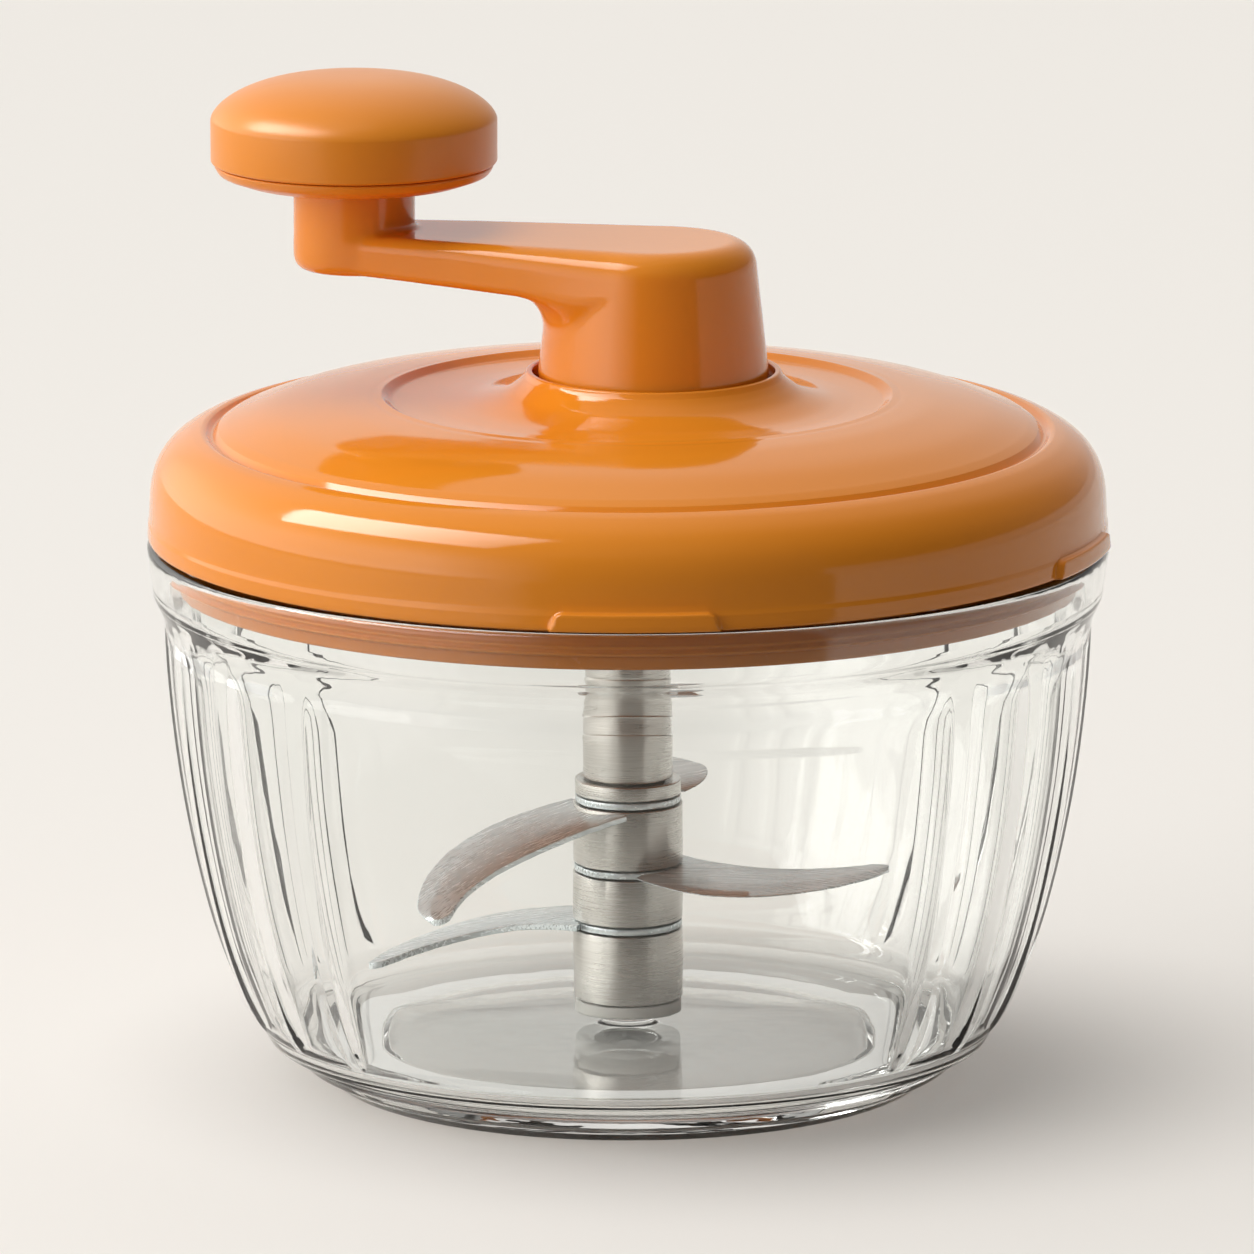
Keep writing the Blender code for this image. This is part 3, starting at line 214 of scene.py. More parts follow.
foot_rows = len(outside)
outside += [(wall_radius(z), z) for z in wall_rows]
cove = rounded([
    (wall_radius(wall_top_z), wall_top_z, 0),
    (wall_radius(wall_top_z) + 0.0004, wall_top_z + 0.0022, 0.0060),
    (rim_radius - 0.0010, wall_top_z + 0.0052, 0.0014),
    (rim_radius - 0.0002, wall_top_z + 0.0112, 0),
])[1:]
outside += cove
bead = rounded([
    (*cove[-1], 0),
    (rim_radius, bowl_height, 0.0013),
    (mouth_radius, bowl_height, 0.0009),
    (mouth_radius, step_z - 0.0002, 0),
])[1:]
bead += flowing([
    (mouth_radius, step_z - 0.0002),
    (mouth_radius - 0.0004, step_z - 0.0018),
    (mouth_radius - 0.0018, step_z - 0.0040),
    (wall_radius(inner_top_z + 0.0032) - glass_wall - 0.0001, step_z - 0.0069),
    (wall_radius(inner_top_z) - glass_wall, inner_top_z),
], 5)[1:]
inner_rows = [wall_top_z - 0.0045 - i * (wall_top_z - 0.0200) / 16 for i in range(1, 15)]
inside = bead + [(wall_radius(z) - glass_wall, z) for z in inner_rows if z < inner_top_z - 0.0025]
inside += rounded([
    (*inside[-1], 0),
    (wall_radius(0.0105) - glass_wall - 0.0016, floor_z + 0.0002, 0.0085),
    (pivot_radius, floor_z, 0.0014),
    (pivot_radius, pivot_top_z, 0.0014),
    (0.0, pivot_top_z, 0),
], 8)[1:]
glass_rows = []
for number, (radius, z) in enumerate(outside + inside):
    reach = np.full(len(bowl_turns), radius)
    if foot_rows <= number < len(outside):
        reach = reach - panel_depth * pressed(bowl_turns, z)
    glass_rows.append(level_ring(reach, bowl_turns, z))


def new_material(name):
    """A material, with its node tree and its Principled shader."""
    made = bpy.data.materials.new(name)
    made.use_nodes = True
    return made, made.node_tree, made.node_tree.nodes["Principled BSDF"]


def add(tree, kind, **values):
    """A shader node with the given properties."""
    node = tree.nodes.new(kind)
    for key, value in values.items():
        setattr(node, key, value)
    return node


def feed(tree, source, target):
    """A link from one socket to another."""
    tree.links.new(source, target)


def effect(name, inputs, outputs):
    """An empty shader node group, with its named inputs and outputs, ready to be wired."""
    tree = bpy.data.node_groups.new(name, "ShaderNodeTree")
    for label, value in inputs.items():
        socket = tree.interface.new_socket(label, in_out="INPUT", socket_type="NodeSocketFloat")
        socket.default_value = value
    for label in outputs:
        tree.interface.new_socket(label, in_out="OUTPUT", socket_type="NodeSocketFloat")
    return tree, add(tree, "NodeGroupInput"), add(tree, "NodeGroupOutput")


def placed(tree, group, **values):
    """A node group placed in a material, with its own values."""
    node = add(tree, "ShaderNodeGroup", node_tree=group)
    for key, value in values.items():
        node.inputs[key.replace("_", " ")].default_value = value
    return node


def calc(tree, operation, a, b=None, c=None):
    """A Math node on sockets or numbers."""
    node = add(tree, "ShaderNodeMath", operation=operation)
    for socket, value in zip(node.inputs, (a, b, c)):
        if isinstance(value, (int, float)):
            socket.default_value = value
        elif value is not None:
            feed(tree, value, socket)
    return node.outputs[0]


def spread(tree, value, low, high, new_low, new_high):
    """A Map Range node: low to high becomes new_low to new_high, each a socket or a number."""
    node = add(tree, "ShaderNodeMapRange")
    for socket, given in zip(node.inputs, (value, low, high, new_low, new_high)):
        if isinstance(given, (int, float)):
            socket.default_value = given
        else:
            feed(tree, given, socket)
    return node.outputs["Result"]


def noise(tree, vector, scale, detail=2.0, roughness=0.5):
    """A noise texture read at the given place."""
    node = add(tree, "ShaderNodeTexNoise")
    feed(tree, vector, node.inputs["Vector"])
    if isinstance(scale, (int, float)):
        node.inputs["Scale"].default_value = scale
    else:
        feed(tree, scale, node.inputs["Scale"])
    node.inputs["Detail"].default_value = detail
    node.inputs["Roughness"].default_value = roughness
    return node.outputs["Fac"]


def bump(tree, height, strength, distance, shader):
    """Raises the surface by a height before the shader."""
    node = add(tree, "ShaderNodeBump")
    node.inputs["Strength"].default_value = strength
    node.inputs["Distance"].default_value = distance
    feed(tree, height, node.inputs["Height"])
    feed(tree, node.outputs["Normal"], shader.inputs["Normal"])


def two_tone(tree, mask, first, second, shader):
    """Mixes two colours by a mask into the shader's colour."""
    node = add(tree, "ShaderNodeMix", data_type="RGBA")
    node.inputs["A"].default_value = (*first, 1.0)
    node.inputs["B"].default_value = (*second, 1.0)
    feed(tree, mask, node.inputs["Factor"])
    feed(tree, node.outputs["Result"], shader.inputs["Base Color"])


def surfaced(name, group, first, second, strength, distance, **values):
    """A material that takes its shade, roughness and relief from a node group."""
    made, tree, shader = new_material(name)
    surface = placed(tree, group, **values)
    two_tone(tree, surface.outputs["Shade"], first, second, shader)
    feed(tree, surface.outputs["Roughness"], shader.inputs["Roughness"])
    bump(tree, surface.outputs["Height"], strength, distance, shader)
    return made, tree, shader


# pressed glass is never quite even: slow waves from the mould, and fine streaks down the wall
pressed_waves, source, result = effect(
    "pressed_waves", {"Wave Scale": 38.0, "Streak Scale": 260.0}, ("Height", "Shade", "Roughness")
)
tree = pressed_waves
place = add(tree, "ShaderNodeTexCoord").outputs["Object"]
stretch = add(tree, "ShaderNodeMapping")
stretch.inputs["Scale"].default_value = (1.0, 1.0, 0.12)
feed(tree, place, stretch.inputs["Vector"])
waves = noise(tree, place, source.outputs["Wave Scale"], 1.0)
streaks = noise(tree, stretch.outputs["Vector"], source.outputs["Streak Scale"], 1.0)
feed(tree, calc(tree, "MULTIPLY_ADD", streaks, 0.12, waves), result.inputs["Height"])
feed(tree, spread(tree, waves, 0.3, 0.7, 0.0, 1.0), result.inputs["Shade"])
feed(tree, spread(tree, streaks, 0.45, 0.8, 0.0, 0.02), result.inputs["Roughness"])

glass, tree, shader = surfaced(
    "pressed_glass", pressed_waves, (0.968, 0.982, 0.970), (0.980, 0.990, 0.982), 0.30, 0.0004
)
shader.inputs["Transmission Weight"].default_value = 1.0
shader.inputs["Metallic"].default_value = 0.0
shader.inputs["IOR"].default_value = 1.5
lets_light_in = add(tree, "ShaderNodeBsdfTransparent")
lets_light_in.inputs["Color"].default_value = (0.945, 0.955, 0.945, 1.0)
mix = add(tree, "ShaderNodeMixShader")
feed(tree, add(tree, "ShaderNodeLightPath").outputs["Is Shadow Ray"], mix.inputs[0])
feed(tree, shader.outputs[0], mix.inputs[1])
feed(tree, lets_light_in.outputs[0], mix.inputs[2])
feed(tree, mix.outputs[0], tree.nodes["Material Output"].inputs["Surface"])
show("bowl_glass", skin("bowl_glass", glass_rows, False), glass, "bowl", ["glass_bowl"])


# Lid shell: an injection-moulded ABS dome in gloss orange. A groove sets off its shoulder, a shallow
# dish lies round the crank, and the collar rises out of the dish towards the hub, which stands a
# little to one side. Four lips moulded on the lower edge lift it off the glass.
lid_radius = rim_radius - 0.0002
lid_base_z = bowl_height + 0.0005
lip_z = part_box("lid_shell")[1].z
hub_offset = 0.0040
hub_radius = 0.0179
collar_bore = hub_radius + 0.00185
crest_z = bowl_height + 0.0179
dish_edge = 0.0398
dish_offset = 0.0014
dish_crest_z = lip_z - 0.0038
lid_wall = 0.0024
tab_angles = [math.radians(a - 90.0) for a in (0.8, 71.0, 180.8, 251.0)]
tab_half = 0.0132
tab_height = 0.0030
tab_slant = 0.0012
tab_proud = 0.0010
tab_corner = 0.0010
tab_edge = 0.0003

even_turns = 240
lid_turns = [2 * math.pi * i / even_turns for i in range(even_turns)]
near_end = np.radians(np.arange(-1.9, 1.91, 0.19))
for tab in tab_angles:
    for end in (-tab_half, tab_half):
        lid_turns += list(tab + end / lid_radius + near_end)
lid_turns = np.array(sorted({round(a % (2 * math.pi), 6) for a in lid_turns}))


def tab_cover(angles, z):
    """How far, from 0 to 1, the lips stand out of the lid's edge at a height."""
    up = z - lid_base_z
    off = away(angles, tab_angles) * lid_radius
    beside = (tab_half - tab_slant * up / tab_height - off) * 0.9
    under = tab_height - up
    inside = tab_corner - np.hypot(np.maximum(tab_corner - beside, 0.0), max(tab_corner - under, 0.0))
    share = np.clip(inside / tab_edge, 0.0, 1.0)
    return share * share * (3 - 2 * share)


side_rows = [
    (lid_radius, lid_base_z + 0.0004),
    (lid_radius - 0.00005, lid_base_z + 0.0012),
    (lid_radius - 0.0001, lid_base_z + 0.0020),
]
side_rows += [(lid_radius - 0.0001 - 0.00003 * i, lid_base_z + 0.0023 + 0.00013 * i) for i in range(7)]
shoulder = flowing([
    (lid_radius - 0.0003, lid_base_z + 0.0042),
    (lid_radius - 0.0006, lid_base_z + 0.0084),
    (lid_radius - 0.0016, crest_z - 0.0058),
    (lid_radius - 0.0036, crest_z - 0.0032),
    (lid_radius - 0.0064, crest_z - 0.0014),
    (lid_radius - 0.0085, crest_z - 0.0007),
], 6)
groove_radius = lid_radius - 0.0101
groove = rounded([
    (*shoulder[-1], 0),
    (groove_radius + 0.0009, crest_z - 0.0009, 0.0005),
    (groove_radius, crest_z - 0.0017, 0.0004),
    (groove_radius - 0.0010, crest_z - 0.0004, 0.0002),
    (groove_radius - 0.0050, crest_z + 0.0013, 0),
], 5)[1:-1]
dome = flowing([
    (groove_radius - 0.0022, crest_z + 0.0003),
    (0.0560, crest_z + 0.0026),
    (0.0480, crest_z + 0.0041),
    (dish_edge + 0.0030, dish_crest_z - 0.0002),
    (dish_edge + 0.0012, dish_crest_z - 0.00012),
], 7)
dish = rounded([
    (*dome[-1], 0),
    (dish_edge, dish_crest_z + 0.00005, 0.0005),
    (dish_edge - 0.0014, dish_crest_z - 0.0009, 0.0014),
    (dish_edge - 0.0070, dish_crest_z - 0.0011, 0),
], 4)[1:]
flare = flowing([
    dish[-1],
    (0.0280, dish_crest_z - 0.0008),
    (0.0238, dish_crest_z + 0.0003),
    (0.0215, lip_z - 0.0021),
    (0.0202, lip_z - 0.0009),
], 6)[1:]
crank_low, crank_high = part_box("crank_arm")
collar_lip = hub_radius + 0.0010
collar = rounded([
    (*flare[-1], 0),
    (collar_lip + 0.0009, lip_z, 0.0004),
    (collar_lip, lip_z, 0.0003),
    (collar_lip, lip_z - 0.0020, 0.0003),
    (collar_bore, lip_z - 0.0024, 0.0002),
    (collar_bore, crank_low.z, 0),
], 4)[1:]
lid_under = [
    (collar_bore + 0.0040, crank_low.z),
    (0.0280, dish_crest_z - 0.0040),
    (dish_edge, dish_crest_z - lid_wall),
    (0.0560, crest_z - 0.0008),
    (lid_radius - 0.0080, crest_z - lid_wall - 0.0012),
    (lid_radius - lid_wall - 0.0010, crest_z - 0.0068),
    (lid_radius - lid_wall, lid_base_z + 0.0003),
]
under_edge = [
    (lid_radius - lid_wall + 0.0003, lid_base_z),
    (lid_radius - 0.0004, lid_base_z),
    (lid_radius - 0.0001, lid_base_z + 0.0001),
]
lid_outline = under_edge + side_rows + shoulder + groove + dome + dish + flare + collar + lid_under


def lid_centre(radius):
    """How far the ring of this radius stands to one side: on the hub near it, on the bowl outside."""
    steps = ((0.0, hub_offset), (0.0225, hub_offset), (dish_edge, dish_offset), (0.056, 0.0))
    for (a, shift_a), (b, shift_b) in zip(steps, steps[1:]):
        if radius <= b:
            share = (radius - a) / (b - a)
            return shift_a + (shift_b - shift_a) * share * share * (3 - 2 * share)
    return 0.0


tab_rows = range(len(under_edge) - 1, len(under_edge) + len(side_rows))
lid_rows = []
for number, (radius, z) in enumerate(lid_outline):
    reach = np.full(len(lid_turns), radius)
    if number in tab_rows:
        reach = reach + tab_proud * tab_cover(lid_turns, z)
    lid_rows.append(level_ring(reach, lid_turns, z, (lid_centre(radius), 0.0)))

# moulded plastic: slow shade changes where the melt flowed, orange peel, and a few dull rub marks
moulded_skin, source, result = effect(
    "moulded_skin",
    {"Flow Scale": 16.0, "Peel Scale": 620.0, "Gloss": 0.14, "Rubbed": 0.24},
    ("Shade", "Roughness", "Height"),
)
tree = moulded_skin
place = add(tree, "ShaderNodeTexCoord").outputs["Object"]
flow = noise(tree, place, source.outputs["Flow Scale"], 2.0)
peel = noise(tree, place, source.outputs["Peel Scale"], 1.0)
smear = add(tree, "ShaderNodeMapping")
smear.inputs["Rotation"].default_value = (0.3, 0.5, 0.8)
smear.inputs["Scale"].default_value = (1.0, 6.0, 1.0)
feed(tree, place, smear.inputs["Vector"])
rubs = noise(tree, smear.outputs["Vector"], 70.0, 4.0, 0.65)
rub_mask = spread(tree, rubs, 0.58, 0.80, 0.0, 1.0)
gloss_here = spread(tree, rub_mask, 0.0, 1.0, source.outputs["Gloss"], source.outputs["Rubbed"])
relief = calc(tree, "MULTIPLY_ADD", flow, 2.0, calc(tree, "MULTIPLY", peel, 0.10))
feed(tree, spread(tree, flow, 0.3, 0.7, 0.0, 1.0), result.inputs["Shade"])
feed(tree, gloss_here, result.inputs["Roughness"])
feed(tree, relief, result.inputs["Height"])


def orange_plastic(name, deep, light, gloss, rubbed, flow_scale=16.0):
    """The chopper's orange, as glossy as the mould was polished."""
    values = {"Gloss": gloss, "Rubbed": rubbed, "Flow_Scale": flow_scale}
    made, tree, shader = surfaced(name, moulded_skin, deep, light, 0.10, 0.0006, **values)
    shader.inputs["IOR"].default_value = 1.47
    return made


deep_orange = (0.785, 0.248, 0.015)
light_orange = (0.825, 0.272, 0.020)
lid_orange = orange_plastic("lid_orange", deep_orange, light_orange, 0.085, 0.15)
show("lid_dome", skin("lid_dome", lid_rows, True), lid_orange, "lid", ["lid_shell"])


# Gear plate: a second orange moulding that closes the lid from below. Its plug centres the lid in
# the mouth of the bowl, and bosses on its underside hold the pins of the idlers and the bush.
def turned(name, outline, closed=True, steps=160, at=(0.0, 0.0)):
    """A turned piece from its (radius, height) outline."""
    angles = np.linspace(0.0, 2 * math.pi, steps, endpoint=False)
    return skin(name, [level_ring(radius, angles, z, at) for radius, z in outline], closed)


def joined(name, first, others, operation="UNION", crease=32.0):
    """A mesh with others joined to it, or cut from it, and its hard edges kept hard."""
    base = linked(name, first)
    helpers = []
    for other in others:
        helper = linked(f"{name}_with", other)
        cut = base.modifiers.new("Join", "BOOLEAN")
        cut.operation = operation
        cut.object = helper
        cut.solver = "EXACT"
        helpers.append(helper)
    bpy.context.view_layer.update()
    worked_out = base.evaluated_get(bpy.context.evaluated_depsgraph_get())
    made = bpy.data.meshes.new_from_object(worked_out)
    for used in (base, *helpers):
        bpy.data.objects.remove(used)
    made.name = name
    made.polygons.foreach_set("use_smooth", [True] * len(made.polygons))
    made.set_sharp_from_angle(angle=math.radians(crease))
    return made


def settled(bm, name):
    """The mesh of a finished bmesh."""
    made = bpy.data.meshes.new(name)
    bm.to_mesh(made)
    bm.free()
    return made


plate_low, plate_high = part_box("gear_plate")
plate_z = lid_base_z + 0.0006
plug_radius = mouth_radius - 0.0018
plug_wall = 0.0020
bush_boss = 0.0102
bush_bore = 0.0082
plate_outline = rounded([
    (bush_bore, plate_high.z, 0),
    (plate_high.x, plate_high.z, 0.0002),
    (plate_high.x, plate_z, 0.0002),
    (plug_radius, plate_z, 0.0003),
    (plug_radius, plate_low.z, 0.0006),
    (plug_radius - plug_wall, plate_low.z, 0.0006),
    (plug_radius - plug_wall, plate_z, 0.0008),
    (bush_boss, plate_z, 0.0008),
    (bush_boss, plate_low.z + 0.0010, 0.0004),
    (bush_bore, plate_low.z + 0.0010, 0),
], 3)
idler_x = 0.0020
idler_y = 0.01385641
boss_outline = [
    (0.0, plate_z + 0.001),
    (0.0042, plate_z + 0.001),
    (0.0041, plate_z - 0.0026),
    (0.0035, plate_z - 0.0032),
    (0.0, plate_z - 0.0032),
]
pin_bosses = [turned("pin_boss", boss_outline, False, 48, (idler_x, y)) for y in (-idler_y, idler_y)]
rib_count = 12
rib_in = 0.0165
rib_out = 0.0670
half_rib = 0.0006
stiffeners = []
for i in range(rib_count):
    angle = 2 * math.pi * (i + 0.5) / rib_count
    bm = bmesh.new()
    corners = [(rib_in, half_rib), (rib_out, half_rib), (rib_out, -half_rib), (rib_in, -half_rib)]
    low = [bm.verts.new((x, y, plate_z - 0.0016)) for x, y in corners]
    high = [bm.verts.new((x, y, plate_z + 0.0008)) for x, y in corners]
    bm.faces.new(low)
    bm.faces.new(high[::-1])
    for k in range(4):
        bm.faces.new((low[k - 1], low[k], high[k], high[k - 1]))
    bmesh.ops.rotate(bm, verts=bm.verts, cent=(0, 0, 0), matrix=Matrix.Rotation(angle, 3, "Z"))
    bmesh.ops.recalc_face_normals(bm, faces=bm.faces)
    stiffeners.append(settled(bm, "stiffener"))
plate_mesh = joined("lid_plate", turned("lid_plate", plate_outline), pin_bosses + stiffeners)
plate_orange = orange_plastic("plate_orange", (0.74, 0.228, 0.018), (0.78, 0.250, 0.024), 0.24, 0.36)
show("lid_plate", plate_mesh, plate_orange, "lid", ["gear_plate"])


# Seal ring: soft orange silicone, pushed over the plug. Three thin lips on its outside meet the
# mouth of the bowl.
seal_low, seal_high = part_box("seal_ring")
seal_inner = plug_radius + 0.0003
seal_outer = seal_high.x
lip_count = 3
seal_outline = [(seal_inner, seal_high.z), (seal_outer - 0.0008, seal_high.z)]
lip_pitch = (seal_high.z - seal_low.z) / lip_count
for i in range(lip_count):
    top = seal_high.z - lip_pitch * i
    for inset, down in ((0.0002, 0.25), (0.0, 0.45), (0.0002, 0.65), (0.0008, 0.98)):
        seal_outline.append((seal_outer - inset, top - lip_pitch * down))
seal_outline += [(seal_inner, seal_low.z)]
seal_silicone = orange_plastic("seal_silicone", (0.82, 0.262, 0.020), (0.86, 0.285, 0.026), 0.42, 0.55)
show(
    "lid_seal", turned("lid_seal", seal_outline), seal_silicone, "lid", ["seal_ring"]
)


# Cover screws: three zinc-plated pan heads with a cross recess hold the gear plate to the bosses
# of the lid. The two that hold the ring gear to the crank are the same.
def cross_recess(z_low, z_high, at):
    """Two crossed blades, the driver's recess."""
    bars = []
    for turn in (0.0, math.pi / 2):
        bm = bmesh.new()
        bmesh.ops.create_cube(bm, size=1.0)
        bmesh.ops.scale(bm, vec=(0.0030, 0.00062, z_high - z_low), verts=bm.verts)
        bmesh.ops.rotate(bm, verts=bm.verts, cent=(0, 0, 0), matrix=Matrix.Rotation(turn, 3, "Z"))
        bmesh.ops.translate(bm, verts=bm.verts, vec=(at[0], at[1], (z_low + z_high) / 2))
        bars.append(settled(bm, "bar"))
    return bars


# turned metal: fine rings left by the tool, both round the sides and across the ends
turned_rings, source, result = effect(
    "turned_rings", {"Ring Scale": 5200.0, "Base": 0.26, "Range": 0.07}, ("Shade", "Roughness", "Height")
)
tree = turned_rings
place = add(tree, "ShaderNodeTexCoord").outputs["Object"]
parts = add(tree, "ShaderNodeSeparateXYZ")
feed(tree, place, parts.inputs[0])
flat = add(tree, "ShaderNodeCombineXYZ")
feed(tree, parts.outputs["X"], flat.inputs["X"])
feed(tree, parts.outputs["Y"], flat.inputs["Y"])
length = add(tree, "ShaderNodeVectorMath", operation="LENGTH")
feed(tree, flat.outputs[0], length.inputs[0])
along = add(tree, "ShaderNodeCombineXYZ")
feed(tree, length.outputs["Value"], along.inputs["X"])
feed(tree, parts.outputs["Z"], along.inputs["Z"])
turn = calc(tree, "ARCTAN2", parts.outputs["Y"], parts.outputs["X"])
feed(tree, calc(tree, "MULTIPLY", turn, 0.00012), along.inputs["Y"])
rings = noise(tree, along.outputs[0], source.outputs["Ring Scale"], 3.0, 0.6)
cloud = noise(tree, place, 90.0, 2.0)
wide = calc(tree, "MULTIPLY_ADD", cloud, 0.6, calc(tree, "MULTIPLY", rings, 0.4))
wide = calc(tree, "MULTIPLY_ADD", wide, source.outputs["Range"], source.outputs["Base"])
feed(tree, spread(tree, rings, 0.3, 0.7, 0.0, 1.0), result.inputs["Shade"])
feed(tree, wide, result.inputs["Roughness"])
feed(tree, rings, result.inputs["Height"])


def turned_steel(name, dark, light, ring_scale, base, anisotropy, height=0.25):
    """Bare metal from the lathe, whose rings draw its reflections out along the axis."""
    values = {"Ring_Scale": ring_scale, "Base": base}
    made, tree, shader = surfaced(name, turned_rings, dark, light, height, 0.00002, **values)
    shader.inputs["Metallic"].default_value = 1.0
    shader.inputs["Anisotropic"].default_value = anisotropy
    shader.inputs["Anisotropic Rotation"].default_value = 0.25
    tangent = add(tree, "ShaderNodeTangent", direction_type="RADIAL", axis="Z")
    feed(tree, tangent.outputs[0], shader.inputs["Tangent"])
    return made


zinc = turned_steel("zinc_screw", (0.60, 0.60, 0.58), (0.72, 0.72, 0.70), 9000.0, 0.24, 0.2)
head_height = 0.0015
for number in (1, 2, 3):
    node = f"cover_screw_{number}"
    low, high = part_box(node)
    middle = ((low.x + high.x) / 2, (low.y + high.y) / 2)
    body = rounded(
        [
            (0.0, low.z, 0),
            (0.0018, low.z, 0.0008),
            (0.0026, low.z + 0.0006, 0.0004),
            (0.0026, low.z + head_height, 0.0001),
            (0.0012, low.z + head_height, 0),
            (0.0012, high.z - 0.0014, 0),
            (0.0004, high.z, 0),
            (0.0, high.z, 0),
        ],
        4,
    )
    bars = cross_recess(low.z - 0.0004, low.z + 0.0008, middle)
    mesh = joined(node, turned(node, body, False, 48, middle), bars, "DIFFERENCE")
    show(f"{node}_head", mesh, zinc, "lid", [node])


# Crank: hub, tapering arm and stem moulded in one piece in the lid's orange. The arm leaves the hub
# level with its top, and a fillet runs from its underside into the hub. Its outside is the zero
# level of a distance field, in which the rounded edges and fillets are exact.
crank_top_z = 0.1325
stem_top_z = crank_high.z
hub_top_radius = 0.0156
hub_edge = 0.0036
arm_aim = math.pi - math.radians(14.0)
crank_throw = 0.0482
arm_thickness = 0.0062
stem_radius = 0.0095
arm_low_z = crank_top_z - arm_thickness
under_fillet = 0.0065
arm_deepens = 0.0017
axle_bore = 0.0033


def cut_round(a, b, bend):
    """What lies inside both fields, with the edge between them rounded."""
    return np.minimum(np.maximum(a, b), -bend) + np.hypot(
        np.maximum(a + bend, 0.0), np.maximum(b + bend, 0.0)
    )


def join_round(a, b, bend):
    """What lies inside either field, with the corner between them filled by an arc."""
    return np.maximum(np.minimum(a, b), bend) - np.hypot(
        np.maximum(bend - a, 0.0), np.maximum(bend - b, 0.0)
    )


def crank_field(p):
    """Signed distance from the crank's skin, in metres, negative inside."""
    x = p[:, 0] - hub_offset
    y = p[:, 1]
    z = p[:, 2]
    u = x * math.cos(arm_aim) + y * math.sin(arm_aim)
    v = np.abs(-x * math.sin(arm_aim) + y * math.cos(arm_aim))
    from_hub = np.hypot(u, v)
    draft = (hub_radius - hub_top_radius) / (crank_top_z - lip_z)
    hub_here = hub_radius - draft * np.maximum(z - lip_z, 0.0)
    hub = from_hub - hub_here
    stem_here = stem_radius - 0.0005
    lean = (hub_here - stem_here) / crank_throw
    across = np.sqrt(1 - lean**2)
    side = u * lean + v * across - hub_here
    past = v * lean - u * across
    end = np.hypot(u - crank_throw, v) - stem_here
    plan = np.where(past > 0, hub, np.where(past < -crank_throw * across, end, side))
    slope = arm_deepens * np.clip((0.048 - from_hub) / 0.030, 0.0, 1.0) ** 1.3
    under = (arm_low_z - slope) - z
    facing = np.clip((u / np.maximum(from_hub, 1e-6) - 0.10) / 0.75, 0.0, 1.0)
    fillet = under_fillet * (0.04 + 0.96 * facing**2 * (3 - 2 * facing))
    below = join_round(under, hub - 0.0001, fillet)
    arm = np.minimum(cut_round(plan, below, 0.0013), hub)
    soft_edge = hub_edge - 0.0015 * np.clip((u - 0.004) / 0.026, 0.0, 1.0)
    arm = cut_round(arm, z - crank_top_z, soft_edge)
    arm = cut_round(arm, crank_low.z - z, 0.0004)
    stem = cut_round(np.hypot(u - crank_throw, v) - stem_radius, z - stem_top_z, 0.0005)
    stem = cut_round(stem, arm_low_z - 0.0002 - z, 0.0024)
    whole = join_round(arm, stem, 0.0008)
    axle_hole = np.maximum(np.hypot(u - crank_throw, v) - axle_bore, stem_top_z - 0.0103 - z)
    core = np.maximum(from_hub - 0.0052, z - arm_low_z)
    return np.maximum(np.maximum(whole, -axle_hole), -core)


def skin_of_field(name, field, low, high, cell):
    """The zero level of a distance field as quads, one corner for each cell that it passes."""
    axes = [np.arange(a - 1.5 * cell, b + 2 * cell, cell) for a, b in zip(low, high)]
    grid = np.stack(np.meshgrid(*axes, indexing="ij"), -1)
    solid = field(grid.reshape(-1, 3)).reshape(grid.shape[:3]) < 0
    corners = np.zeros([n - 1 for n in solid.shape], int)
    for i in (0, 1):
        for j in (0, 1):
            for k in (0, 1):
                one = tuple(slice(c, n - 1 + c) for c, n in zip((i, j, k), solid.shape))
                corners += solid[one]
    passed = (corners > 0) & (corners < 8)
    index = np.full(passed.shape, -1)
    index[passed] = np.arange(passed.sum())
    points = grid[:-1, :-1, :-1][passed] + cell / 2
    faces = []
    for a in range(3):
        b, c = (a + 1) % 3, (a + 2) % 3
        here = solid.take(range(solid.shape[a] - 1), a)
        edges = np.argwhere(here != solid.take(range(1, solid.shape[a]), a))
        quad = []
        for db, dc in ((0, 0), (1, 0), (1, 1), (0, 1)):
            cell_at = edges.copy()
            cell_at[:, b] -= db
            cell_at[:, c] -= dc
            quad.append(index[tuple(cell_at.T)])
        quad = np.stack(quad, 1)
        inward = ~here[tuple(edges.T)]
        quad[inward] = quad[inward][:, ::-1]
        faces.append(quad)
    faces = np.concatenate(faces)

    def settle(points, rounds):
        """Moves the points on to the zero level."""
        for _ in range(rounds):
            value = field(points)
            rises = [field(points + d) - field(points - d) for d in np.eye(3) * 1e-5]
            slope = np.stack(rises, 1) / 2e-5
            size = np.maximum((slope**2).sum(1), 0.2)
            points = points - np.clip(value, -cell, cell)[:, None] * slope / size[:, None]
        return points

    links = np.concatenate([faces[:, [i, (i + 1) % 4]] for i in range(4)])
    links = np.unique(np.sort(links, 1), axis=0)
    points = settle(points, 3)
    for _ in range(4):
        total = np.zeros_like(points)
        count = np.zeros(len(points))
        for one, other in (links.T, links.T[::-1]):
            np.add.at(total, one, points[other])
            np.add.at(count, one, 1.0)
        points = settle(points * 0.4 + total / count[:, None] * 0.6, 2)
    mesh = bpy.data.meshes.new(name)
    mesh.from_pydata(points.tolist(), [], faces.tolist())
    mesh.polygons.foreach_set("use_smooth", [True] * len(faces))
    return mesh


crank_mesh = skin_of_field("crank", crank_field, crank_low, crank_high, 0.00062)
crank_orange = orange_plastic("crank_orange", deep_orange, light_orange, 0.12, 0.20, 24.0)
show("crank", crank_mesh, crank_orange, "crank", ["crank_arm"])


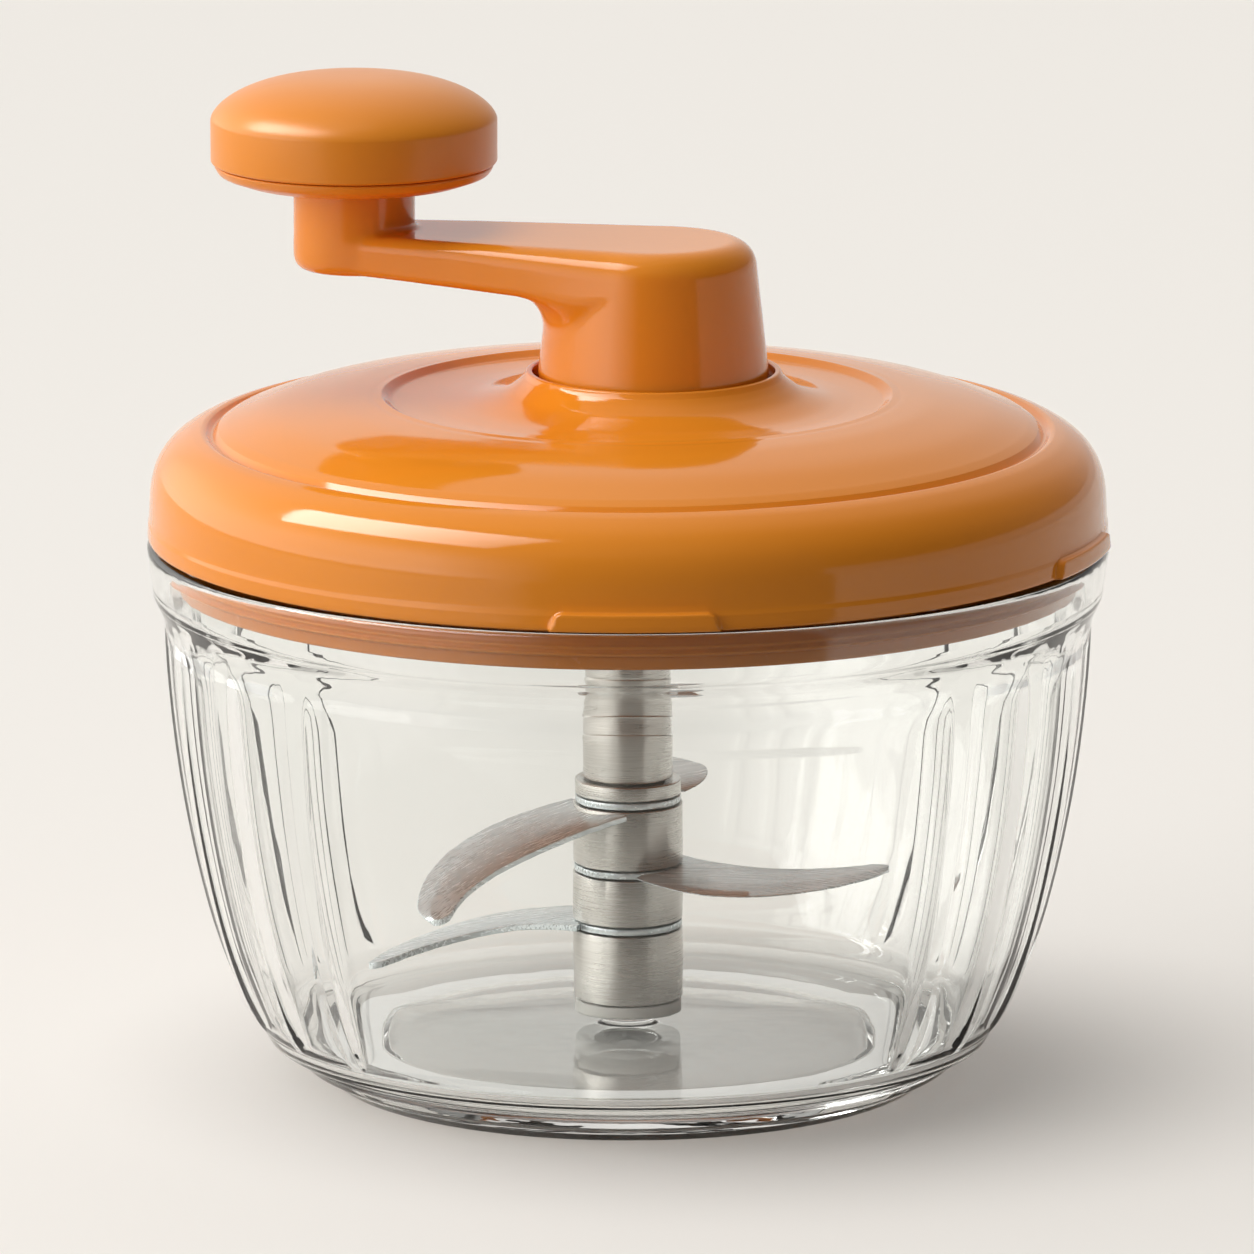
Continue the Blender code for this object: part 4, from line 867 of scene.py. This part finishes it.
# Knob: a low cap snapped over a base, with a fine seam between them. Both turn on the steel axle in
# the crank's stem.
knob_at = (hub_offset + crank_throw * math.cos(arm_aim), crank_throw * math.sin(arm_aim))
cap_low, cap_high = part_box("knob_cap")
base_low, base_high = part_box("knob_base")
knob_radius = (cap_high.x - cap_low.x) / 2
crown_z = cap_high.z - 0.0070
base_top = cap_low.z - 0.00018
crown_steps = 24
crown = []
for i in range(crown_steps + 1):
    a = math.radians(90.0 * i / crown_steps)
    reach = math.sin(a) ** 0.62 if i else 0.0
    rise = max(0.0, 1 - reach**2.6) ** 0.62
    crown.append((knob_radius * reach, crown_z + (cap_high.z - crown_z) * rise))
cap_outline = crown + rounded([
    (*crown[-1], 0),
    (knob_radius, cap_low.z, 0.0005),
    (knob_radius - 0.0022, cap_low.z, 0.0003),
    (knob_radius - 0.0022, crown_z, 0.0030),
    (0.0, cap_high.z - 0.0030, 0),
], 5)[1:]
knob_orange = orange_plastic("knob_orange", deep_orange, light_orange, 0.29, 0.38, 30.0)
cap_mesh = turned("knob_crown", cap_outline, False, 144, knob_at)
show("knob_crown", cap_mesh, knob_orange, "knob", ["knob_cap"])
base_outline = rounded([
    (axle_bore, base_high.z, 0),
    (0.0060, base_high.z, 0.0003),
    (0.0063, base_top, 0.0004),
    (knob_radius - 0.0004, base_top, 0.0003),
    (knob_radius - 0.0012, base_low.z + 0.0012, 0.0016),
    (knob_radius - 0.0046, base_low.z, 0.0016),
    (axle_bore, base_low.z, 0),
], 5)
base_mesh = turned("knob_under", base_outline, True, 144, knob_at)
show("knob_under", base_mesh, knob_orange, "knob", ["knob_base"])


# Rotor sleeves and shaft: short stainless tubes stacked over the plastic core, turned and brushed
# round, with the blades' rings clamped between them. The shaft is crimped under its top end.
shaft_steel = turned_steel(
    "shaft_steel", (0.53, 0.51, 0.48), (0.67, 0.65, 0.62), 9000.0, 0.24, 0.85, 0.08
)
stack_bore = 0.00595
break_edge = 0.00014
for node in ("hub_lower", "hub_middle", "hub_upper", "hub_collar"):
    low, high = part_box(node)
    sleeve_outline = rounded(
        [
            (stack_bore, high.z, 0),
            (high.x, high.z, break_edge),
            (high.x, low.z, break_edge),
            (stack_bore, low.z, 0),
        ],
        3,
    )
    mesh = turned(f"{node}_sleeve", sleeve_outline, True, 96)
    show(f"{node}_sleeve", mesh, shaft_steel, "rotor", [node])
tube_low, tube_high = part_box("shaft_tube")
tube_radius = tube_high.x
crimp_z = 0.0624
tube_outline = rounded([
    (stack_bore, tube_high.z, 0),
    (tube_radius - 0.0002, tube_high.z, 0.0002),
    (tube_radius - 0.0002, crimp_z + 0.0010, 0.0008),
    (tube_radius - 0.00045, crimp_z + 0.0002, 0.0006),
    (tube_radius, crimp_z - 0.0008, 0.0008),
    (tube_radius, tube_low.z, 0.0002),
    (stack_bore, tube_low.z, 0),
], 4)
tube_mesh = turned("shaft", tube_outline, True, 96)
show("shaft", tube_mesh, shaft_steel, "rotor", ["shaft_tube"])


# Rotor core: white acetal, with a foot that runs on the bowl's pivot and a hexagonal peg on top,
# which the drive spindle turns.
def white_acetal(name):
    values = {"Gloss": 0.38, "Rubbed": 0.50, "Peel_Scale": 800.0}
    return surfaced(name, moulded_skin, (0.77, 0.76, 0.72), (0.83, 0.82, 0.78), 0.12, 0.0002, **values)[0]


acetal = white_acetal("acetal")
core_low, core_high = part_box("rotor_core")
foot_outer = core_high.x
foot_top_z = core_low.z + 0.0030
core_radius = stack_bore - 0.0003
tube_end = tube_high.z
peg_across = 0.0062
core_outline = rounded([
    (0.0, tube_end - 0.0003, 0),
    (core_radius, tube_end - 0.0003, 0.0003),
    (core_radius, foot_top_z, 0),
    (foot_outer, foot_top_z, 0.0003),
    (foot_outer, core_low.z, 0.0008),
    (pivot_radius + 0.0003, core_low.z, 0.0003),
    (pivot_radius + 0.0003, pivot_top_z + 0.0003, 0.0003),
    (0.0, pivot_top_z + 0.0003, 0),
], 4)
peg_corner = peg_across / 2 / math.cos(math.pi / 6)
bm = bmesh.new()
bmesh.ops.create_cone(
    bm,
    cap_ends=True,
    segments=6,
    radius1=peg_corner,
    radius2=peg_corner,
    depth=core_high.z - tube_end + 0.002,
    matrix=Matrix.Translation((0.0, 0.0, (core_high.z + tube_end - 0.002) / 2))
    @ Matrix.Rotation(math.radians(30.0), 4, "Z"),
)
bmesh.ops.bevel(bm, geom=list(bm.edges), offset=0.00025, segments=2, profile=0.5, affect="EDGES")
core_mesh = joined("rotor_foot", turned("rotor_foot", core_outline, False, 96), [settled(bm, "peg")])
show("rotor_foot", core_mesh, acetal, "rotor", ["rotor_core"])


# Blades: crescents stamped from stainless strip and ground along the outside of the sweep. Each has
# a ring that the stack clamps. The upper strip carries two wings, the middle and lower one each.
def around(radius, degrees):
    """A point in plan, from its radius and direction."""
    a = math.radians(degrees)
    return np.array((radius * math.cos(a), radius * math.sin(a)))


def wing_lines(edge_root, edge_bow, edge_tip, back_root, back_bow, back_tip):
    """Control points of a wing's ground edge and of its back, in plan, as (radius, degrees)."""
    edge = (around(wing_root, edge_root), around(*edge_bow), around(*edge_tip))
    back = (around(wing_root, back_root), around(*back_bow), around(*back_tip))
    return edge, back


def bezier(line, t):
    """The point at t on a curve with three control points."""
    u = 1 - t
    return u * u * line[0] + 2 * u * t * line[1] + t * t * line[2]


blade_half = 0.0005
wing_root = 0.0099
wing_steps = 44
tip_steps = 12


def wing(lines, root_z, drop, twist, turn_deg=0.0, tip=0.08):
    """One wing, closed, from its root in the ring to its rounded tip. root_z is its upper face."""
    edge, back = lines
    turn = math.radians(turn_deg)
    spin = np.array(((math.cos(turn), -math.sin(turn)), (math.sin(turn), math.cos(turn))))
    across = (
        (0.0, blade_half - 0.00012),
        (0.006, blade_half - 0.00004),
        (0.015, blade_half),
        (0.30, blade_half),
        (0.60, blade_half),
        (0.625, blade_half - 0.00002),
        (0.80, blade_half * 0.62),
        (0.99, 0.00012),
        (1.0, 0.00004),
    )
    along = [((1 - tip) * i / wing_steps, 1.0) for i in range(wing_steps)]
    for i in range(tip_steps + 1):
        a = math.pi / 2 * i / tip_steps
        along.append((1 - tip + tip * math.sin(a), max(0.03, math.cos(a))))
    rows = []
    for t, width in along:
        lift = twist * min(1.0, t / 0.3) * (1 - t) ** 0.7
        front = bezier(edge, t)
        rear = bezier(back, t)
        middle = (front + rear) / 2
        front = middle + (front - middle) * width
        rear = middle + (rear - middle) * width
        top = []
        for share, thick in across:
            x, y = spin @ (rear + (front - rear) * share)
            z = root_z - blade_half - drop * t**1.06 + lift * (2 * share - 1)
            top.append((x, y, z, thick))
        ring = [(x, y, z + thick) for x, y, z, thick in top]
        ring += [(x, y, z - thick) for x, y, z, thick in reversed(top)]
        rows.append(ring)
    return skin("wing", rows, False, True)


# brushed strip: long fine lines along one direction, a few deeper ones among them
brushed_lines, source, result = effect(
    "brushed_lines",
    {"Line Scale": 3600.0, "Direction": 0.0, "Base": 0.20, "Range": 0.14},
    ("Shade", "Roughness", "Height"),
)
tree = brushed_lines
place = add(tree, "ShaderNodeTexCoord").outputs["Object"]
turn_node = add(tree, "ShaderNodeVectorRotate", rotation_type="Z_AXIS")
feed(tree, place, turn_node.inputs["Vector"])
feed(tree, source.outputs["Direction"], turn_node.inputs["Angle"])
pull = add(tree, "ShaderNodeMapping")
pull.inputs["Scale"].default_value = (0.02, 1.0, 0.4)
feed(tree, turn_node.outputs[0], pull.inputs["Vector"])
lines = noise(tree, pull.outputs[0], source.outputs["Line Scale"], 3.0, 0.65)
patch = noise(tree, place, 60.0, 2.0)
both = calc(tree, "MULTIPLY_ADD", patch, 0.5, calc(tree, "MULTIPLY", lines, 0.5))
both = calc(tree, "MULTIPLY_ADD", both, source.outputs["Range"], source.outputs["Base"])
feed(tree, spread(tree, lines, 0.36, 0.64, 0.0, 1.0), result.inputs["Shade"])
feed(tree, both, result.inputs["Roughness"])
feed(tree, lines, result.inputs["Height"])


def brushed_strip(name, direction):
    """Stainless strip, brushed along a direction in radians, with a painted cool tint that offsets the
    orange light from the plate above.
    """
    made, tree, shader = surfaced(
        name, brushed_lines, (0.68, 0.75, 0.775), (0.93, 0.985, 1.0), 0.30, 0.00003, Direction=direction
    )
    shader.inputs["Metallic"].default_value = 0.5
    shader.inputs["Anisotropic"].default_value = 0.4
    return made


long_wing = wing_lines(155.3, (0.0356, 190.2), (0.0436, 222.6), 268.5, (0.0349, 220.9), (0.0423, 229.5))
rear_wing = wing_lines(21.0, (0.0282, 45.0), (0.0381, 93.0), 131.0, (0.0222, 82.0), (0.0376, 96.0))
side_wing = wing_lines(-83.5, (0.0377, -60.6), (0.0411, -4.4), 28.2, (0.0247, -32.0), (0.0408, 2.9))
# each blade's ring height and radius, its wings as wing takes them, and the direction of its brushing
upper_wings = (
    (long_wing, 0.0432, 0.0116, 0.0004, 0.0, 0.10),
    (rear_wing, 0.0446, 0.0, 0.0010),
)
blade_sets = {
    "blade_upper": (0.0436, 0.0083, upper_wings, -0.6),
    "blade_middle": (0.0326, 0.0085, ((side_wing, 0.0336, 0.0006, -0.0005),), 0.1),
    "blade_lower": (0.0236, 0.0085, ((side_wing, 0.0246, 0.0060, -0.0005, 188.0),), -0.1),
}
for node, (ring_z, ring_radius, wings, direction) in blade_sets.items():
    ring_top = ring_z + 2 * blade_half
    corners = [(0.0, ring_top, 0), (ring_radius, ring_top, 0.00012)]
    corners += [(ring_radius, ring_z, 0.00012), (0.0, ring_z, 0)]
    ring = turned(node, rounded(corners, 2), False, 96)
    strip = joined(node, ring, [wing(*w) for w in wings])
    low, high = ring_z - 0.004, ring_z + 0.005
    bore_outline = [(0.0, low), (stack_bore, low), (stack_bore, high), (0.0, high)]
    bore = turned("bore", bore_outline, False, 96)
    strip = joined(node, strip, [bore], "DIFFERENCE", 24.0)
    steel = brushed_strip(f"{node}_steel", direction)
    show(f"{node}_strip", strip, steel, "rotor", [node])


# Gears, bushes and pins: acetal gears on steel pins, between the plate and the crown of the lid. They
# keep their CAD shapes, because they are cut as they are made.
for node in (
    "ring_gear", "idler_gear_front", "idler_gear_back", "drive_spindle", "spindle_bush", "hub_bearing",
):
    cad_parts[node].material_slots[0].material = white_acetal(f"{node}_acetal")
pin_steel = turned_steel("pin_steel", (0.58, 0.57, 0.55), (0.70, 0.69, 0.67), 7000.0, 0.16, 0.3)
for node in ("idler_pin_front", "idler_pin_back", "knob_axle", "drive_screw_left", "drive_screw_right"):
    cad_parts[node].material_slots[0].material = pin_steel


# Studio: a pale paper floor under a bright backdrop, soft daylight from above, a window at the left,
# a long lamp mirrored in the gloss, and a darker room in front, dark in the sky and painted on the
# paper, mirrored in the upright surfaces.
paper, tree, shader = new_material("studio_paper")
paper_colour = (0.890, 0.867, 0.832)
painted_room_colour = (0.185, 0.168, 0.148)
shaded_share = 0.45
seen_share = 0.24
paper_glow = 0.17
shader.inputs["Roughness"].default_value = 0.9
shader.inputs["Specular IOR Level"].default_value = 0.1
# the part of the paper in front is painted dark where it is mirrored, a painted reflection of a dark
# room, and all of it is painted darker in bounced light, painted shade that keeps the undersides deep
spot = add(tree, "ShaderNodeSeparateXYZ")
feed(tree, add(tree, "ShaderNodeTexCoord").outputs["Object"], spot.inputs[0])
ahead = spread(tree, spot.outputs["Y"], -0.11, -0.07, 1.0, 0.0)
left_edge = calc(tree, "MULTIPLY_ADD", spot.outputs["Y"], -0.45, spot.outputs["X"])
right_edge = calc(tree, "MULTIPLY_ADD", spot.outputs["Y"], 1.19, spot.outputs["X"])
inside_left = spread(tree, left_edge, -0.10, 0.05, 0.0, 1.0)
inside_right = spread(tree, right_edge, -0.055, -0.040, 1.0, 0.0)
painted_room = calc(tree, "MULTIPLY", ahead, calc(tree, "MULTIPLY", inside_left, inside_right))
path = add(tree, "ShaderNodeLightPath")
in_gloss = calc(tree, "MINIMUM", path.outputs["Glossy Depth"], 1.0)
in_shade = calc(tree, "MINIMUM", path.outputs["Diffuse Depth"], 1.0)
mirrored = calc(tree, "MULTIPLY", painted_room, calc(tree, "MAXIMUM", in_gloss, in_shade))
dimmed = calc(tree, "MAXIMUM", mirrored, calc(tree, "MULTIPLY", in_shade, shaded_share))
# where the camera sees it, some of its brightness is its own glow, which keeps the shadow pale
seen = calc(tree, "MAXIMUM", path.outputs["Is Camera Ray"], path.outputs["Is Transmission Ray"])
seen = calc(tree, "MULTIPLY", seen, calc(tree, "SUBTRACT", 1.0, in_shade))
dimmed = calc(tree, "MAXIMUM", dimmed, calc(tree, "MULTIPLY", seen, seen_share))
two_tone(tree, dimmed, paper_colour, painted_room_colour, shader)
shader.inputs["Emission Color"].default_value = (*paper_colour, 1.0)
feed(tree, calc(tree, "MULTIPLY", seen, paper_glow), shader.inputs["Emission Strength"])
floor_mesh = bpy.data.meshes.new("floor")
half = 6.0
floor_corners = [(-half, -half, 0), (half, -half, 0), (half, half, 0), (-half, half, 0)]
floor_mesh.from_pydata(floor_corners, [], [(0, 1, 2, 3)])
floor_mesh.materials.append(paper)
floor = linked("floor", floor_mesh)


middle_z = 0.08


def lamp(name, kind, place, along=(0.0, 1.0, 0.0), **values):
    """A lamp at a place, shining on the chopper, with its long side along the given direction."""
    light = bpy.data.lights.new(name, kind)
    for key, value in values.items():
        setattr(light, key, value)
    made = linked(name, light)
    back = (Vector(place) - Vector((0.0, 0.0, middle_z))).normalized()
    side = Vector(along)
    side = (side - back * side.dot(back)).normalized()
    turn = Matrix((side, back.cross(side), back)).transposed()
    made.matrix_world = Matrix.Translation(place) @ turn.to_4x4()
    return made


day = lamp(
    "daylight", "SUN", (-0.15, -0.04, 1.00), color=(1.0, 0.985, 0.965), energy=1.30, angle=0.65
)
day.visible_glossy = False
window = lamp(
    "window", "AREA", (-1.27, -0.38, 0.62),
    color=(1.0, 0.985, 0.965), shape="RECTANGLE", size=1.0, size_y=0.8, energy=4.2,
)
window.visible_glossy = False
key = lamp(
    "key", "AREA", (-0.72, -0.15, 1.04), (0.526, -0.767, 0.06),
    color=(1.0, 0.985, 0.96), shape="RECTANGLE", size=1.15, size_y=0.54, energy=24.0,
)
key.visible_diffuse = False
key.data.use_nodes = True
tree = key.data.node_tree
# it lights only what is seen or mirrored directly, and fades towards its end in front
depth = add(tree, "ShaderNodeLightPath").outputs["Diffuse Depth"]
across_lamp = add(tree, "ShaderNodeSeparateXYZ")
feed(tree, add(tree, "ShaderNodeNewGeometry").outputs["Parametric"], across_lamp.inputs[0])
faded = spread(tree, across_lamp.outputs["X"], 0.40, 1.0, 1.0, 0.22)
glow = calc(tree, "MULTIPLY", calc(tree, "LESS_THAN", depth, 0.5), faded)
feed(tree, glow, tree.nodes["Emission"].inputs["Strength"])

sky = bpy.data.worlds.new("studio_sky")
bpy.context.scene.world = sky
sky.use_nodes = True
tree = sky.node_tree
back = tree.nodes["Background"]
back.inputs["Color"].default_value = (0.955, 0.935, 0.905, 1.0)
# a pale backdrop behind, darker to the right, a bright window low on the left, and the dark room
heading = add(tree, "ShaderNodeSeparateXYZ")
feed(tree, add(tree, "ShaderNodeTexCoord").outputs["Generated"], heading.inputs[0])
east, north, up = heading.outputs
backdrop = spread(tree, north, -0.20, 0.60, 0.27, 0.90)
near_horizon = spread(tree, up, 0.08, 0.13, 0.62, 0.0)
far_side = spread(tree, east, 0.00, 0.72, 1.0, 0.25)
open_sky = calc(tree, "MAXIMUM", calc(tree, "MULTIPLY", backdrop, far_side), near_horizon)
window_side = spread(tree, calc(tree, "MULTIPLY_ADD", north, 0.30, east), -0.95, -0.05, 2.3, 0.0)
window_glow = calc(tree, "MULTIPLY", window_side, spread(tree, up, 0.30, 0.75, 1.0, 0.0))
room_left = spread(tree, calc(tree, "MULTIPLY_ADD", north, -0.45, east), -0.45, 0.15, 0.0, 1.0)
room_right = spread(tree, calc(tree, "MULTIPLY_ADD", north, 1.11, east), -0.02, 0.0, 1.0, 0.0)
room_high = spread(tree, up, 0.55, 0.75, 1.0, 0.0)
in_room = calc(tree, "MULTIPLY", room_high, calc(tree, "MULTIPLY", room_left, room_right))
all_light = calc(tree, "ADD", open_sky, window_glow)
feed(tree, spread(tree, in_room, 0.0, 1.0, all_light, 0.12), back.inputs["Strength"])
bpy.context.scene.view_settings.view_transform = "Standard"

camera_tilt = math.radians(12.0)
camera_reach = 2.0
aim_z = 0.070
frame_width = 1254
pixels_per_mm = 6.393
lens_data = bpy.data.cameras.new("camera")
lens_data.sensor_width = 36.0
lens_data.lens = 36.0 * pixels_per_mm * camera_reach * 1000 / frame_width
lens_data.shift_x = -1 / frame_width
lens_data.shift_y = 6 / frame_width
lens_data.clip_start = 0.1
camera = linked("camera", lens_data)
camera_z = aim_z + camera_reach * math.sin(camera_tilt)
camera.location = (0.0, -camera_reach * math.cos(camera_tilt), camera_z)
camera.rotation_euler = (math.pi / 2 - camera_tilt, 0.0, 0.0)
bpy.context.scene.camera = camera
